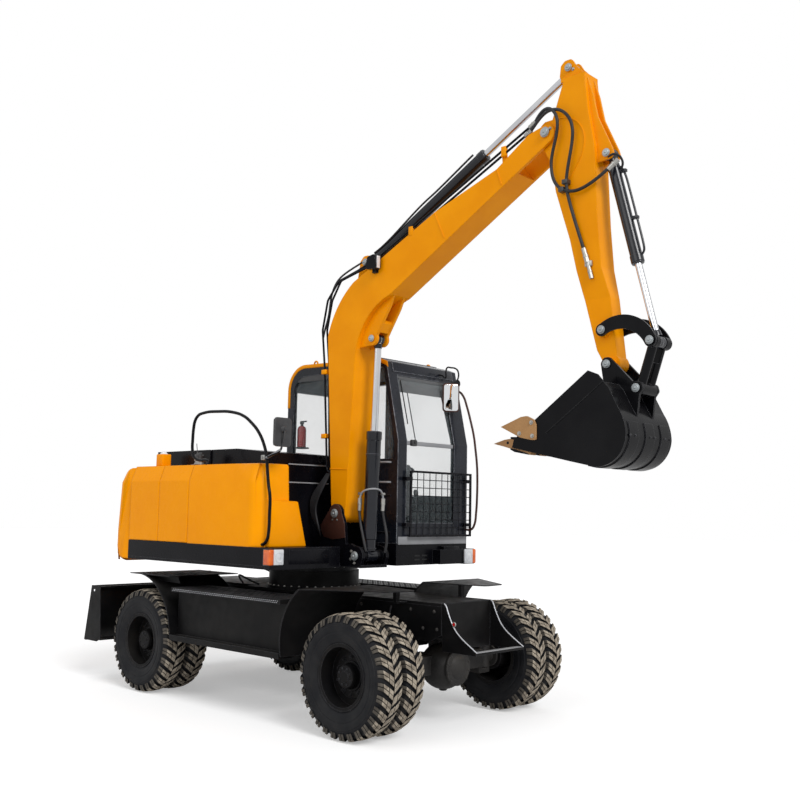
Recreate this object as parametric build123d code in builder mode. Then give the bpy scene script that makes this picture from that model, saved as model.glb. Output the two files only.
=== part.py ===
"""Wheeled excavator, 9-tonne class, on twin tyres, with a rear dozer blade.

Millimetres. +X points forward, +Y to the machine's left, +Z up.
Every x below is counted from the slewing axis, which stands at SWING_X in the part's frame.
Every z is counted from the ground with the wheel axes at AXLE_Z, and larger tyres lift it all by RIDE.
"""
import os
from math import cos, hypot, radians, sin

from build123d import *

os.makedirs("parts", exist_ok=True)

# Driving dimensions
SWING_X = -800        # slewing axis, from the middle of the machine's length
FIT = 0.05            # radial clearance of a running pin in its eye
SEAT = 0.3            # gap between curved faces of pieces that are fixed together
SIDE_GAP = 6          # side clearance between an eye and its ears
SKIN = 8              # plate used for fenders and brackets

# Wheels
TYRE_R = 480
AXLE_Z = 480
RIDE = TYRE_R - AXLE_Z
TYRE_W = 235
TWIN_GAP = 11
TWIN_Y = 921.5        # middle of a twin pair
BEAD_R = 238
BEAD_HALF = 85
FLANGE_R = 256
FRONT_X = 1600
REAR_X = -1180
HUB_R = 105
HUB_Y = (700, 1090)   # inner and outer end of a hub
DISC_Y = (994, 1010)  # rim disc
SPINDLE_R = 60
SPINDLE_END = 966
FLANGE_Y = (670, 686) # flange that the hub runs against
KINGPIN_Y = 600
KINGPIN_R = 25
EAR_GAP = (385, 575)  # height of the yoke's opening
EAR_T = 35
STEER_ARM = -210      # tie rod eye from the kingpin, along x
TIE_Z = 374
AXLE_PIVOT = 760      # height of the front axle's rocking pin


# Chassis
RAIL_Y = 320
RAIL_T = 25
RAIL_TOP = 985
DECK_Z = 1010
RING_R = 430
RING_BORE = 280
RING_TOP = 1180
SIDE_Y = 1150
STEP_X = (REAR_X + 1.04 * TYRE_R, FRONT_X - 1.52 * TYRE_R)

# Blade linkage
BLADE_LOW = (-1560, 440)
BLADE_HIGH = (-1560, 640)
BLADE_LINK = 450
BLADE_TILT = 30
BLADE_CYL = (-1680, 925)

# Upper body
FLOOR_Z = 1240
FLOOR_T = 25
SILL_Z = 1420
SKIRT_T = 28
BOOM_Y = -120
BOOM_W = 260
HINGE_R = 8           # pins of the side doors, cab door and engine hood
HINGE_IN = 14         # from a door's faces to its hinge pin
SIDE_DOORS = (("side_door_rear", (-1445, -953)), ("side_door_front", (-947, -473)))
LEFT_DOOR = (-1445, -645)
HOOD_X = (-1540, -646)
HOOD_TOP = 2300
EAVES = HOOD_TOP - 310    # top of the upright orange wall
CREASE = HOOD_TOP - 163   # top of the slanted band above it
BAND_Y = 1100
TOP_Y = -800              # inner edge of the flat orange top
HOOD_HINGES = (-600, 0)
CAB_Y = (150, 1150)
CAB_WALL = 45
DOOR_GAP = 7
DOOR_FRAME = ((-100, SILL_Z + 60), (-100, 3070), (620, 3090), (850, 2390), (850, SILL_Z + 60))

# Pins of the digging gear, (x, z)
FOOT = (583, 1715)
LIFT_BASE = (856, 1344)
LIFT_ROD = (922, 3300)
ELBOW = (2855, 4729)
CROWD_BASE = (819, 4024)
CROWD_ROD = (3031, 5232)
CURL_BASE = (3362, 4462)
ROCKER = (3344, 3100)
KNEE = (3742, 2982)
WRIST = (3392, 2840)
BUCKET_PIN = (3630, 2648)

PIN_R = 35
SMALL_PIN_R = 26
LIFT_R = 59           # barrel radii
CROWD_R = 52
CURL_R = 46
ROD_PIN_R = 26
ROD_EYE = 38          # half width of a rod's eye
ARM_W = 190
FORK_R = 385          # reach of the boom's fork round the elbow pin
BUCKET_W = 650


def side(y):
    """Sketch plane that faces the machine's right side: x forward, y up."""
    return Plane(origin=(SWING_X, y, RIDE), x_dir=(1, 0, 0), z_dir=(0, -1, 0))


def level(z):
    """Horizontal sketch plane at height z."""
    return Plane(origin=(SWING_X, 0, RIDE + z))


def cross(x):
    """Sketch plane across the machine at x: x to the left, y up."""
    return Plane(origin=(SWING_X + x, 0, RIDE), x_dir=(0, 1, 0), z_dir=(1, 0, 0))


def block(x, y, z, mode=Mode.ADD):
    """A box from its (low, high) extents along x, y and z."""
    with Locations((SWING_X + (x[0] + x[1]) / 2, (y[0] + y[1]) / 2, RIDE + (z[0] + z[1]) / 2)):
        Box(x[1] - x[0], y[1] - y[0], z[1] - z[0], mode=mode)


def flat(plane, outline, depth, mode, corners):
    """A straight extrusion of an outline; corners lists (index, radius) of those that are rounded."""
    with BuildSketch(plane) as face:
        with BuildLine():
            Polyline(*outline, close=True)
        make_face()
        for index, radius in corners:
            u, v = outline[index]
            fillet(min(face.vertices(), key=lambda p: hypot(p.X - u, p.Y - v)), radius)
    extrude(to_extrude=face.sketch, amount=depth, mode=mode)


def plate(outline, y, mode=Mode.ADD, corners=()):
    """A flat plate with an (x, z) outline, between the two y values."""
    flat(side(max(y)), outline, abs(y[1] - y[0]), mode, corners)


def slab(outline, z, mode=Mode.ADD, corners=()):
    """A level plate with an (x, y) outline, between the two z values."""
    flat(level(min(z)), outline, abs(z[1] - z[0]), mode, corners)


def section(outline, x, mode=Mode.ADD, corners=()):
    """A length along x with a (y, z) outline, between the two x values."""
    flat(cross(min(x)), outline, abs(x[1] - x[0]), mode, corners)


def profile(start, route, y, mode=Mode.ADD):
    """A plate whose edge runs from start over rows of (through, end); without a through point it is straight."""
    with BuildSketch(side(max(y))) as face:
        with BuildLine():
            at = start
            for through, end in route:
                if through:
                    ThreePointArc(at, through, end)
                else:
                    Line(at, end)
                at = end
        make_face()
    extrude(to_extrude=face.sketch, amount=abs(y[1] - y[0]), mode=mode)


def pin(at, radius, y, mode=Mode.ADD):
    """A cylinder along y at (x, z), between the two y values."""
    with BuildSketch(side(max(y))) as face:
        with Locations(at):
            Circle(radius)
    extrude(to_extrude=face.sketch, amount=abs(y[1] - y[0]), mode=mode)


def post(at, radius, z, mode=Mode.ADD):
    """An upright cylinder at (x, y), between the two z values."""
    with BuildSketch(level(min(z))) as face:
        with Locations(at):
            Circle(radius)
    extrude(to_extrude=face.sketch, amount=abs(z[1] - z[0]), mode=mode)


def shaft(at, radius, x, mode=Mode.ADD):
    """A cylinder along x at (y, z), between the two x values."""
    with BuildSketch(cross(min(x))) as face:
        with Locations(at):
            Circle(radius)
    extrude(to_extrude=face.sketch, amount=abs(x[1] - x[0]), mode=mode)


def towards(start, end, distance):
    """The point at a distance from start on the line to end, in (x, z)."""
    length = hypot(end[0] - start[0], end[1] - start[1])
    share = distance / length
    return (start[0] + share * (end[0] - start[0]), start[1] + share * (end[1] - start[1]))


def rod(start, end, y, radius, near, far, mode=Mode.ADD):
    """A round bar on the line from start to end, from near to far along it."""
    length = hypot(end[0] - start[0], end[1] - start[1])
    aim = ((end[0] - start[0]) / length, 0, (end[1] - start[1]) / length)
    foot = towards(start, end, near)
    with BuildSketch(Plane(origin=(SWING_X + foot[0], y, RIDE + foot[1]), z_dir=aim)) as face:
        Circle(radius)
    extrude(to_extrude=face.sketch, amount=far - near, mode=mode)


def tube(points, radius, bend):
    """A bent tube through points (x, y, z) with rounded corners."""
    route = [(SWING_X + x, y, RIDE + z) for x, y, z in points]
    with BuildLine() as line:
        FilletPolyline(*route, radius=bend)
    start = Vector(*route[0])
    with BuildSketch(Plane(origin=start, z_dir=Vector(*route[1]) - start)) as face:
        Circle(radius)
    sweep(sections=face.sketch, path=line.line)


def leave(builder, name):
    """Writes a finished piece under its own name."""
    builder.part.label = name
    export_step(builder.part, "parts/" + name + ".step")


# Twin tyres, one pair per corner: name, axle, side
CORNERS = (
    ("front_left", FRONT_X, 1),
    ("front_right", FRONT_X, -1),
    ("rear_left", REAR_X, 1),
    ("rear_right", REAR_X, -1),
)
tyre_pitch = TYRE_W + TWIN_GAP
TYRE_WALL = (             # share of the half width, share of the height from bead to tread
    (0.885, 0.165), (1, 0.463), (0.98, 0.67), (0.90, 0.835), (0.834, 0.942), (0.51, 0.988), (0, 1),
)
tyre_section = [(BEAD_HALF, BEAD_R), (BEAD_HALF, BEAD_R + 20)]
tyre_section += [(w * TYRE_W / 2, BEAD_R + h * (TYRE_R - BEAD_R)) for w, h in TYRE_WALL]

for name, axle, hand in CORNERS:
    wheel_axis = Axis((SWING_X + axle, 0, TYRE_R), (0, 1, 0))
    with BuildPart() as tyre:
        for shift in (-tyre_pitch / 2, tyre_pitch / 2):
            centre = hand * TWIN_Y + shift
            outer = [(centre + w, AXLE_Z + r) for w, r in tyre_section]
            inner = [(centre - w, AXLE_Z + r) for w, r in reversed(tyre_section[:-1])]
            with BuildSketch(cross(axle)) as half:
                with BuildLine():
                    Polyline(*outer, *inner, close=True)
                make_face()
            revolve(profiles=half.sketch, axis=wheel_axis)
        with BuildSketch(cross(axle)) as spacer:
            with Locations((hand * TWIN_Y, AXLE_Z + BEAD_R + 25)):
                Rectangle(tyre_pitch - 2 * BEAD_HALF + 10, 50)
        revolve(profiles=spacer.sketch, axis=wheel_axis)
    leave(tyre, "tyres_" + name)

    bead_out = TWIN_Y + tyre_pitch / 2 + BEAD_HALF
    bead_in = TWIN_Y - tyre_pitch / 2 - BEAD_HALF
    barrel_r = BEAD_R - SEAT
    rim_section = (           # distance from the middle plane, radius
        (bead_out + SEAT, barrel_r), (bead_out + SEAT, FLANGE_R), (bead_out + 9, FLANGE_R),
        (bead_out + 9, barrel_r - 12), (DISC_Y[1], barrel_r - 12), (DISC_Y[1], HUB_R - 5), (HUB_Y[1], HUB_R - 25),
        (HUB_Y[1], 0), (SPINDLE_END, 0), (SPINDLE_END, SPINDLE_R + FIT), (HUB_Y[0], SPINDLE_R + FIT),
        (HUB_Y[0], HUB_R + 15), (DISC_Y[0] - 14, HUB_R + 15), (DISC_Y[0], barrel_r - 12), (bead_in - 9, barrel_r - 12),
        (bead_in - 9, FLANGE_R), (bead_in - SEAT, FLANGE_R), (bead_in - SEAT, barrel_r),
    )
    with BuildPart() as rim:
        with BuildSketch(cross(axle)) as half:
            with BuildLine():
                Polyline(*[(hand * w, AXLE_Z + r) for w, r in rim_section], close=True)
            make_face()
        revolve(profiles=half.sketch, axis=wheel_axis)
    leave(rim, "rim_" + name)

# Steering knuckles
YOKE_R = 55
ears = (EAR_GAP[0] - EAR_T, EAR_GAP[1] + EAR_T)
tie_eye = FRONT_X + STEER_ARM
arm_z = (EAR_GAP[0] + 11, EAR_GAP[0] + 33)
for name, hand in (("left", 1), ("right", -1)):
    king = (FRONT_X, hand * KINGPIN_Y)
    with BuildPart() as knuckle:
        post(king, YOKE_R, (EAR_GAP[0] + 5, EAR_GAP[1] - 5))
        post(king, KINGPIN_R, (ears[0] - 10, ears[1] + 10))
        pin((FRONT_X, AXLE_Z), 50, (hand * KINGPIN_Y, hand * FLANGE_Y[0]))
        pin((FRONT_X, AXLE_Z), 95, (hand * FLANGE_Y[0], hand * FLANGE_Y[1]))
        pin((FRONT_X, AXLE_Z), SPINDLE_R, (hand * FLANGE_Y[1], hand * (SPINDLE_END - 6)))
        slab(((FRONT_X, king[1] + 40), (FRONT_X, king[1] - 40), (tie_eye, king[1] - 22), (tie_eye, king[1] + 22)), arm_z)
        post((tie_eye, king[1]), 24, arm_z)
        post((tie_eye, king[1]), 12, (TIE_Z - 22, arm_z[0]))
    leave(knuckle, "knuckle_" + name)

with BuildPart() as tie_rod:
    pin((tie_eye, TIE_Z), 14, (-KINGPIN_Y + 20, KINGPIN_Y - 20))
    for y in (-KINGPIN_Y, KINGPIN_Y):
        post((tie_eye, y), 25, (TIE_Z - 14, TIE_Z + 14))
        post((tie_eye, y), 12 + FIT, (TIE_Z - 24, TIE_Z + 26), mode=Mode.SUBTRACT)
leave(tie_rod, "tie_rod")

# Axles
CASING_R = 195
with BuildPart() as front_axle:
    with Locations((SWING_X + FRONT_X + 50, 0, RIDE + AXLE_Z - 15)):
        Sphere(CASING_R)
    shaft((0, AXLE_Z), 70, (FRONT_X - 220, FRONT_X))
    block((FRONT_X - 75, FRONT_X + 75), (-500, 500), (AXLE_Z - 75, AXLE_Z + 75))
    for hand in (-1, 1):
        king = (FRONT_X, hand * KINGPIN_Y)
        block((FRONT_X - 60, FRONT_X + 60), sorted((hand * 475, hand * 510)), ears)
        for low, high in ((ears[0], EAR_GAP[0]), (EAR_GAP[1], ears[1])):
            block((FRONT_X - YOKE_R, FRONT_X + YOKE_R), sorted((hand * 500, king[1])), (low, high))
            post(king, YOKE_R, (low, high))
        post(king, KINGPIN_R + FIT, (ears[0] - 10, ears[1] + 10), mode=Mode.SUBTRACT)
    block((FRONT_X - 60, FRONT_X + 60), (-70, 70), (AXLE_Z + 60, AXLE_PIVOT + 30))
    shaft((0, AXLE_PIVOT), 40, (FRONT_X - 125, FRONT_X + 125))
leave(front_axle, "front_axle")

RAIL_REAR = 700           # height of the rails over the rear axle
with BuildPart() as rear_axle:
    with Locations((SWING_X + REAR_X, 0, RIDE + AXLE_Z)):
        Sphere(CASING_R)
    pin((REAR_X, AXLE_Z), 75, (-FLANGE_Y[0], FLANGE_Y[0]))
    for hand in (-1, 1):
        pin((REAR_X, AXLE_Z), 95, (hand * FLANGE_Y[0], hand * FLANGE_Y[1]))
        pin((REAR_X, AXLE_Z), SPINDLE_R, (hand * FLANGE_Y[1], hand * (SPINDLE_END - 6)))
        block((REAR_X - 60, REAR_X + 60), sorted((hand * 225, hand * RAIL_Y)), (AXLE_Z + 20, RAIL_REAR))
    block((REAR_X + 100, REAR_X + 270), (-120, 120), (AXLE_Z - 120, AXLE_Z + 210))
    shaft((0, AXLE_Z), 60, (REAR_X + 270, REAR_X + 300))
leave(rear_axle, "rear_axle")

with BuildPart() as drive_shaft:
    shaft((0, AXLE_Z), 32, (REAR_X + 300, FRONT_X - 220))
    shaft((0, AXLE_Z), 55, (REAR_X + 300, REAR_X + 380))
    shaft((0, AXLE_Z), 55, (FRONT_X - 300, FRONT_X - 220))
leave(drive_shaft, "drive_shaft")

# Chassis
TAIL_X = -1620
NOSE_X = 1900
BELLY = (560, 580)
rail_outline = (
    (TAIL_X, 390), (TAIL_X, RAIL_TOP), (NOSE_X, RAIL_TOP), (NOSE_X, 760), (1780, 700), (1400, 700), (1180, BELLY[0]),
    (-760, BELLY[0]), (-900, RAIL_REAR), (-1440, RAIL_REAR), (-1500, 390),
)
with BuildPart() as chassis_rails:
    for hand in (-1, 1):
        plate(rail_outline, (hand * (RAIL_Y - RAIL_T), hand * RAIL_Y))
        for spot in (BLADE_LOW, BLADE_HIGH):
            pin(spot, 25, (hand * (RAIL_Y - RAIL_T), hand * (RAIL_Y + 60)))
leave(chassis_rails, "chassis_rails")

CROSS_PLATES = (          # low x, high x, bottom
    (TAIL_X, TAIL_X + 25, 390), (-1420, -1400, RAIL_REAR), (-900, -870, RAIL_REAR), (-300, -280, BELLY[0]),
    (400, 420, BELLY[0]), (1150, 1180, BELLY[0]), (1480, 1510, 700), (1690, 1720, 700), (1880, NOSE_X, 760),
)
PANELS = ((-760, -301), (-279, 399), (421, 1149))
between = (-RAIL_Y + RAIL_T, RAIL_Y - RAIL_T)
with BuildPart() as cross_members:
    for low, high, bottom in CROSS_PLATES:
        block((low, high), between, (bottom, RAIL_TOP))
    shaft((0, AXLE_PIVOT), 40 + SEAT, (FRONT_X - 140, FRONT_X + 140), mode=Mode.SUBTRACT)
    for low, high in PANELS:
        block((low, high), between, BELLY)
        post(((low + high) / 2, 0), 110, (BELLY[0] - 20, BELLY[1] + 20), mode=Mode.SUBTRACT)
    for x in (-420, 560):                                 # beams that carry the steps
        for hand in (-1, 1):
            block((x, x + 60), sorted((hand * RAIL_Y, hand * 720)), (800, 900))
    for hand in (-1, 1):                                  # blade cylinder ears
        x, z = BLADE_CYL
        plate(((TAIL_X + 10, z - 50), (TAIL_X + 10, z + 50), (x, z + 40), (x - 35, z + 20), (x - 35, z - 20),
               (x, z - 40)), (hand * 46, hand * 66))
    pin(BLADE_CYL, 20, (-66, 66))
leave(cross_members, "cross_members")

with BuildPart() as chassis_deck:
    block((-450, 450), (-450, 450), (RAIL_TOP, DECK_Z))
    block((TAIL_X, NOSE_X), (-RAIL_Y, RAIL_Y), (RAIL_TOP, DECK_Z))
    post((0, 0), RING_BORE, (RAIL_TOP, DECK_Z), mode=Mode.SUBTRACT)
leave(chassis_deck, "chassis_deck")

with BuildPart() as slewing_ring:
    post((0, 0), RING_R + 15, (DECK_Z, DECK_Z + 25))
    post((0, 0), RING_R, (DECK_Z, RING_TOP))
    post((0, 0), RING_BORE, (DECK_Z, RING_TOP), mode=Mode.SUBTRACT)
leave(slewing_ring, "slewing_ring")

# Steps and mudguards
STEP_Y = 720
STEP_Z = (560, 970, DECK_Z)
with BuildPart() as side_steps:
    for hand in (-1, 1):
        block(STEP_X, sorted((hand * STEP_Y, hand * (SIDE_Y - 85))), (STEP_Z[0], STEP_Z[1]))
        block(STEP_X, sorted((hand * STEP_Y, hand * SIDE_Y)), (STEP_Z[1], STEP_Z[2]))
        block(STEP_X, sorted((hand * (SIDE_Y - 150), hand * SIDE_Y)), (STEP_Z[0] - 28, STEP_Z[0] + 20))
leave(side_steps, "side_steps")

GUARD_TOP = 1110
GUARD_IN = 345
ARCHES = (                # wheel axis x, its three points from there as shares of the tyre radius
    (REAR_X, ((1.02, 0.15), (0.72, 0.9), (-0.05, 1.29))),
    (FRONT_X, ((-1.46, 0.15), (-1.4, 0.85), (-1.04, 1.29))),
)
with BuildPart() as mudguards:
    for hand in (-1, 1):
        width = (hand * GUARD_IN, hand * SIDE_Y)
        for axle, shares in ARCHES:
            near = [(axle + u * TYRE_R, AXLE_Z + v * TYRE_R) for u, v in shares]
            low, through, high = [(axle + u * (TYRE_R + SKIN), AXLE_Z + v * (TYRE_R + SKIN)) for u, v in shares]
            profile(near[0], ((near[1], near[2]), (None, high), (through, low), (None, near[0])), width)
        rear_top = (REAR_X - 211, AXLE_Z + 1.29 * TYRE_R)
        block((rear_top[0], -740), sorted(width), (rear_top[1], rear_top[1] + SKIN))
        plate((rear_top, (-1060, rear_top[1] - 50), (-740, rear_top[1] - 60), (-700, rear_top[1] - 60),
               (-740, rear_top[1] + SKIN), (rear_top[0], rear_top[1] + SKIN)), (hand * 1040, hand * 1048))
        slab(((1094, hand * SIDE_Y), (1710, hand * 730), (1740, hand * 450), (1290, hand * GUARD_IN),
              (1094, hand * GUARD_IN)), (GUARD_TOP - SKIN, GUARD_TOP), corners=((1, 60), (2, 60)))
        block((1470, 1510), sorted((hand * 400, hand * 440)), (990, GUARD_TOP - 4))
        block((1460, 1520), sorted((hand * RAIL_Y, hand * 440)), (990, 1002))
leave(mudguards, "mudguards")

LADDER_Z = (630, 652, 1010)
ladder = (
    (NOSE_X, LADDER_Z[2]), (1925, LADDER_Z[2]), (1950, 940), (2000, 850), (2090, 750), (2250, 658), (2250, LADDER_Z[0]),
    (NOSE_X, LADDER_Z[0]),
)
with BuildPart() as front_ladder:
    for hand in (-1, 1):
        plate(ladder, (hand * 300, hand * (300 + SKIN)), corners=((3, 90), (4, 90)))
    block((2195, 2250), (-304, 304), (LADDER_Z[0] + 2, LADDER_Z[1]))
    block((NOSE_X, NOSE_X + SKIN), (-304, 304), (LADDER_Z[0] + 2, LADDER_Z[2] - 5))
leave(front_ladder, "front_ladder")

# Blade and its parallel links
tilt = radians(BLADE_TILT)
reach = (-BLADE_LINK * cos(tilt), BLADE_LINK * sin(tilt))
blade_low_pin = (BLADE_LOW[0] + reach[0], BLADE_LOW[1] + reach[1])
blade_high_pin = (BLADE_HIGH[0] + reach[0], BLADE_HIGH[1] + reach[1])
LINK_Y = (345, 370)       # blade links outside the rails
cross_at = towards(BLADE_LOW, blade_low_pin, 215)
blade_rod_pin = towards(BLADE_LOW, blade_low_pin, 300)
with BuildPart() as blade_link_lower:
    for hand in (-1, 1):
        for spot in (BLADE_LOW, blade_low_pin):
            pin(spot, 45, (hand * LINK_Y[0], hand * LINK_Y[1]))
        low, high = BLADE_LOW, blade_low_pin
        bar = ((low[0] - 15, low[1] - 30), (low[0] + 15, low[1] + 30), (high[0] + 15, high[1] + 30),
               (high[0] - 15, high[1] - 30))
        plate(bar, (hand * LINK_Y[0], hand * LINK_Y[1]))
        for spot in (BLADE_LOW, blade_low_pin):
            pin(spot, 25 + FIT, (hand * (LINK_Y[0] - 1), hand * (LINK_Y[1] + 1)), mode=Mode.SUBTRACT)
    pin(cross_at, 30, (-350, 350))
    for hand in (-1, 1):
        pin(blade_rod_pin, 34, (hand * 28, hand * 42))
        pin(blade_rod_pin, 18, (hand * 42, hand * 50))
        plate(((cross_at[0] - 20, cross_at[1] - 25), (cross_at[0] + 20, cross_at[1] + 25),
               (blade_rod_pin[0] + 20, blade_rod_pin[1] + 27), (blade_rod_pin[0] - 20, blade_rod_pin[1] - 27)),
              (hand * 28, hand * 42))
leave(blade_link_lower, "blade_link_lower")

with BuildPart() as blade_link_upper:
    for hand in (-1, 1):
        for spot in (BLADE_HIGH, blade_high_pin):
            pin(spot, 40, (hand * LINK_Y[0], hand * LINK_Y[1]))
        low, high = BLADE_HIGH, blade_high_pin
        bar = ((low[0] - 12, low[1] - 25), (low[0] + 12, low[1] + 25), (high[0] + 12, high[1] + 25),
               (high[0] - 12, high[1] - 25))
        plate(bar, (hand * LINK_Y[0], hand * LINK_Y[1]))
        for spot in (BLADE_HIGH, blade_high_pin):
            pin(spot, 25 + FIT, (hand * (LINK_Y[0] - 1), hand * (LINK_Y[1] + 1)), mode=Mode.SUBTRACT)
leave(blade_link_upper, "blade_link_upper")

with BuildPart() as blade:
    with BuildSketch(side(1142)) as face:
        with BuildLine():
            ThreePointArc((-2090, 940), (-2035, 650), (-2190, 395))
            Line((-2190, 395), (-2172, 390))
            ThreePointArc((-2172, 390), (-2015, 655), (-2070, 940))
            Line((-2070, 940), (-2090, 940))
        make_face()
    extrude(to_extrude=face.sketch, amount=2284)
    for hand in (-1, 1):
        plate(((-2100, 940), (-1940, 940), (-1890, 420), (-1960, 390), (-2200, 390)), (hand * 1142, hand * SIDE_Y))
        pin((-2050, 895), 18, (hand * 1130, hand * 1160), mode=Mode.SUBTRACT)
        for y in ((318, 338), (377, 397)):
            plate(((-2045, 560), (-2045, 930), (blade_high_pin[0] + 30, 930), (blade_high_pin[0] + 30, 640),
                   (blade_low_pin[0] - 30, 620)), (hand * y[0], hand * y[1]))
        for spot in (blade_low_pin, blade_high_pin):
            pin(spot, 25, (hand * 318, hand * 397))
    block((-2050, -2000), (-1142, 1142), (915, 930))
    block((-2045, -1900), (-1142, 1142), (405, 420))
leave(blade, "blade")

with BuildPart() as blade_cylinder:
    rod(BLADE_CYL, blade_rod_pin, 0, 38, 30, 285)
    pin(BLADE_CYL, 36, (-40, 40))
    rod(BLADE_CYL, blade_rod_pin, 0, 18 + FIT, 60, 290, mode=Mode.SUBTRACT)
    pin(BLADE_CYL, 20 + FIT, (-41, 41), mode=Mode.SUBTRACT)
leave(blade_cylinder, "blade_cylinder")

blade_span = hypot(blade_rod_pin[0] - BLADE_CYL[0], blade_rod_pin[1] - BLADE_CYL[1])
with BuildPart() as blade_rod:
    rod(BLADE_CYL, blade_rod_pin, 0, 18, 80, blade_span - 10)
    pin(blade_rod_pin, 28, (-22, 22))
    pin(blade_rod_pin, 18, (-23, 23), mode=Mode.SUBTRACT)
leave(blade_rod, "blade_rod")

# Upper frame with the boom bracket
BRACKET_IN = BOOM_W / 2 + SIDE_GAP
BRACKET_OUT = BRACKET_IN + 30
FLOOR_TOP = FLOOR_Z + FLOOR_T
bracket_outline = (
    (391, FLOOR_Z + 5), (391, FOOT[1] - 115), (FOOT[0] - 84, FOOT[1] - 20), (FOOT[0], FOOT[1]), (FOOT[0] + 84, FOOT[1]),
    (708, 1628), (729, 1443), (793, 1450), (LIFT_BASE[0], LIFT_BASE[1] + 80), (LIFT_BASE[0] + 88, LIFT_BASE[1] - 10),
    (915, FLOOR_Z + 5),
)
with BuildPart() as upper_frame:
    block((-1450, 660), (-SIDE_Y, SIDE_Y), (FLOOR_Z, FLOOR_TOP))
    block((100, 925), (BOOM_Y - BRACKET_OUT, BOOM_Y + BRACKET_OUT), (FLOOR_Z, FLOOR_TOP))
    for hand in (-1, 1):
        width = (BOOM_Y + hand * BRACKET_IN, BOOM_Y + hand * BRACKET_OUT)
        plate(bracket_outline, width, corners=((1, 60),))
        pin(FOOT, 85, width)
        pin(LIFT_BASE, 88, width)
        pin(LIFT_BASE, 50, (BOOM_Y + hand * (LIFT_R + SIDE_GAP), BOOM_Y + hand * BRACKET_IN))
    for spot in (FOOT, LIFT_BASE):
        pin(spot, PIN_R, (BOOM_Y - BRACKET_OUT - 12, BOOM_Y + BRACKET_OUT + 12))
    post((0, 0), RING_R - 15, (RING_TOP, FLOOR_Z))
    post((0, 0), RING_BORE - FIT, (RING_TOP - 60, RING_TOP))
leave(upper_frame, "upper_frame")

DECK_LAMP = ((640, 732), (-SIDE_Y - 8, -1005), (1272, 1412))
CAB_LAMP = ((940, 1060), (985, SIDE_Y), (1250, 1395))
with BuildPart() as skirts:
    for hand in (-1, 1):
        block((-1450, 660), sorted((hand * (SIDE_Y - SKIRT_T), hand * SIDE_Y)), (FLOOR_TOP, SILL_Z))
    block((570, 720), (-SIDE_Y, -350), (FLOOR_TOP, SILL_Z))
    block((660, 720), (-SIDE_Y, -350), (FLOOR_Z, SILL_Z))
    block(*DECK_LAMP, mode=Mode.SUBTRACT)
    for x in (SIDE_DOORS[0][1], SIDE_DOORS[1][1]):
        post((x[1] - HINGE_IN, HINGE_IN - SIDE_Y), HINGE_R, (SILL_Z - 5, SILL_Z + 40))
    post((LEFT_DOOR[1] - HINGE_IN, SIDE_Y - HINGE_IN), HINGE_R, (SILL_Z - 5, SILL_Z + 40))
leave(skirts, "skirts")

WEIGHT_X = (-1740, -1450)
WEIGHT_TOP = CREASE - 12
with BuildPart() as counterweight:
    section(((-SIDE_Y, FLOOR_Z), (-SIDE_Y, EAVES), (-BAND_Y, WEIGHT_TOP), (BAND_Y, WEIGHT_TOP), (SIDE_Y, EAVES),
             (SIDE_Y, FLOOR_Z)), WEIGHT_X)
    slab(((WEIGHT_X[1], -SIDE_Y), (WEIGHT_X[0], -SIDE_Y), (WEIGHT_X[0], SIDE_Y), (WEIGHT_X[1], SIDE_Y)),
         (FLOOR_Z, WEIGHT_TOP), mode=Mode.INTERSECT, corners=((1, 200), (2, 200)))
leave(counterweight, "counterweight")

# Right side: two swing doors and the fixed tank cover
DOOR_WALL = 45
DOOR_IN = -1060           # inner edge of a door's turned-in top
DOOR_FOOT = SILL_Z + 5
hood_section = ((-SIDE_Y, SILL_Z), (-SIDE_Y, EAVES), (-BAND_Y, CREASE), (TOP_Y, CREASE), (TOP_Y, SILL_Z))
door_section = (
    (-SIDE_Y, DOOR_FOOT), (-SIDE_Y, EAVES), (-BAND_Y, CREASE), (DOOR_IN, CREASE), (DOOR_IN, CREASE - DOOR_WALL),
    (DOOR_WALL - SIDE_Y, EAVES - 8), (DOOR_WALL - SIDE_Y, DOOR_FOOT),
)
for name, x in SIDE_DOORS:
    hinge = (x[1] - HINGE_IN, HINGE_IN - SIDE_Y)
    with BuildPart() as door:
        section(door_section, x)
        fillet([e for e in door.edges().filter_by(Axis.Z)
                if e.center().X > SWING_X + x[1] - 1 and e.center().Y < 1 - SIDE_Y], HINGE_IN)
        post(hinge, x[1] - HINGE_IN - x[0], (DOOR_FOOT, CREASE), mode=Mode.INTERSECT)
        post(hinge, HINGE_R + FIT, (SILL_Z, SILL_Z + 45), mode=Mode.SUBTRACT)
    leave(door, name)

NOSE_FACE = 560           # front of the tank cover
with BuildPart() as tank_cover:
    section(hood_section, (-467, NOSE_FACE))
    slab(((-467, TOP_Y), (-467, -SIDE_Y), (NOSE_FACE, -SIDE_Y), (NOSE_FACE, TOP_Y)), (SILL_Z, CREASE),
         mode=Mode.INTERSECT, corners=((2, 230),))
    block((500, 600), (-1084, -650), (SILL_Z, EAVES - 170))
    block((-1445, -467), (DOOR_IN + 10, TOP_Y), (CREASE - 20, CREASE))
leave(tank_cover, "tank_cover")

with BuildPart() as hood_left:
    hinge = (LEFT_DOOR[1] - HINGE_IN, SIDE_Y - HINGE_IN)
    block(LEFT_DOOR, (SIDE_Y - DOOR_WALL, SIDE_Y), (DOOR_FOOT, CREASE))
    fillet([e for e in hood_left.edges().filter_by(Axis.Z)
            if e.center().X > SWING_X + LEFT_DOOR[1] - 1 and e.center().Y > SIDE_Y - 1], HINGE_IN)
    post(hinge, LEFT_DOOR[1] - HINGE_IN - LEFT_DOOR[0], (DOOR_FOOT, CREASE), mode=Mode.INTERSECT)
    post(hinge, HINGE_R + FIT, (SILL_Z, SILL_Z + 45), mode=Mode.SUBTRACT)
leave(hood_left, "hood_left")

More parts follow.
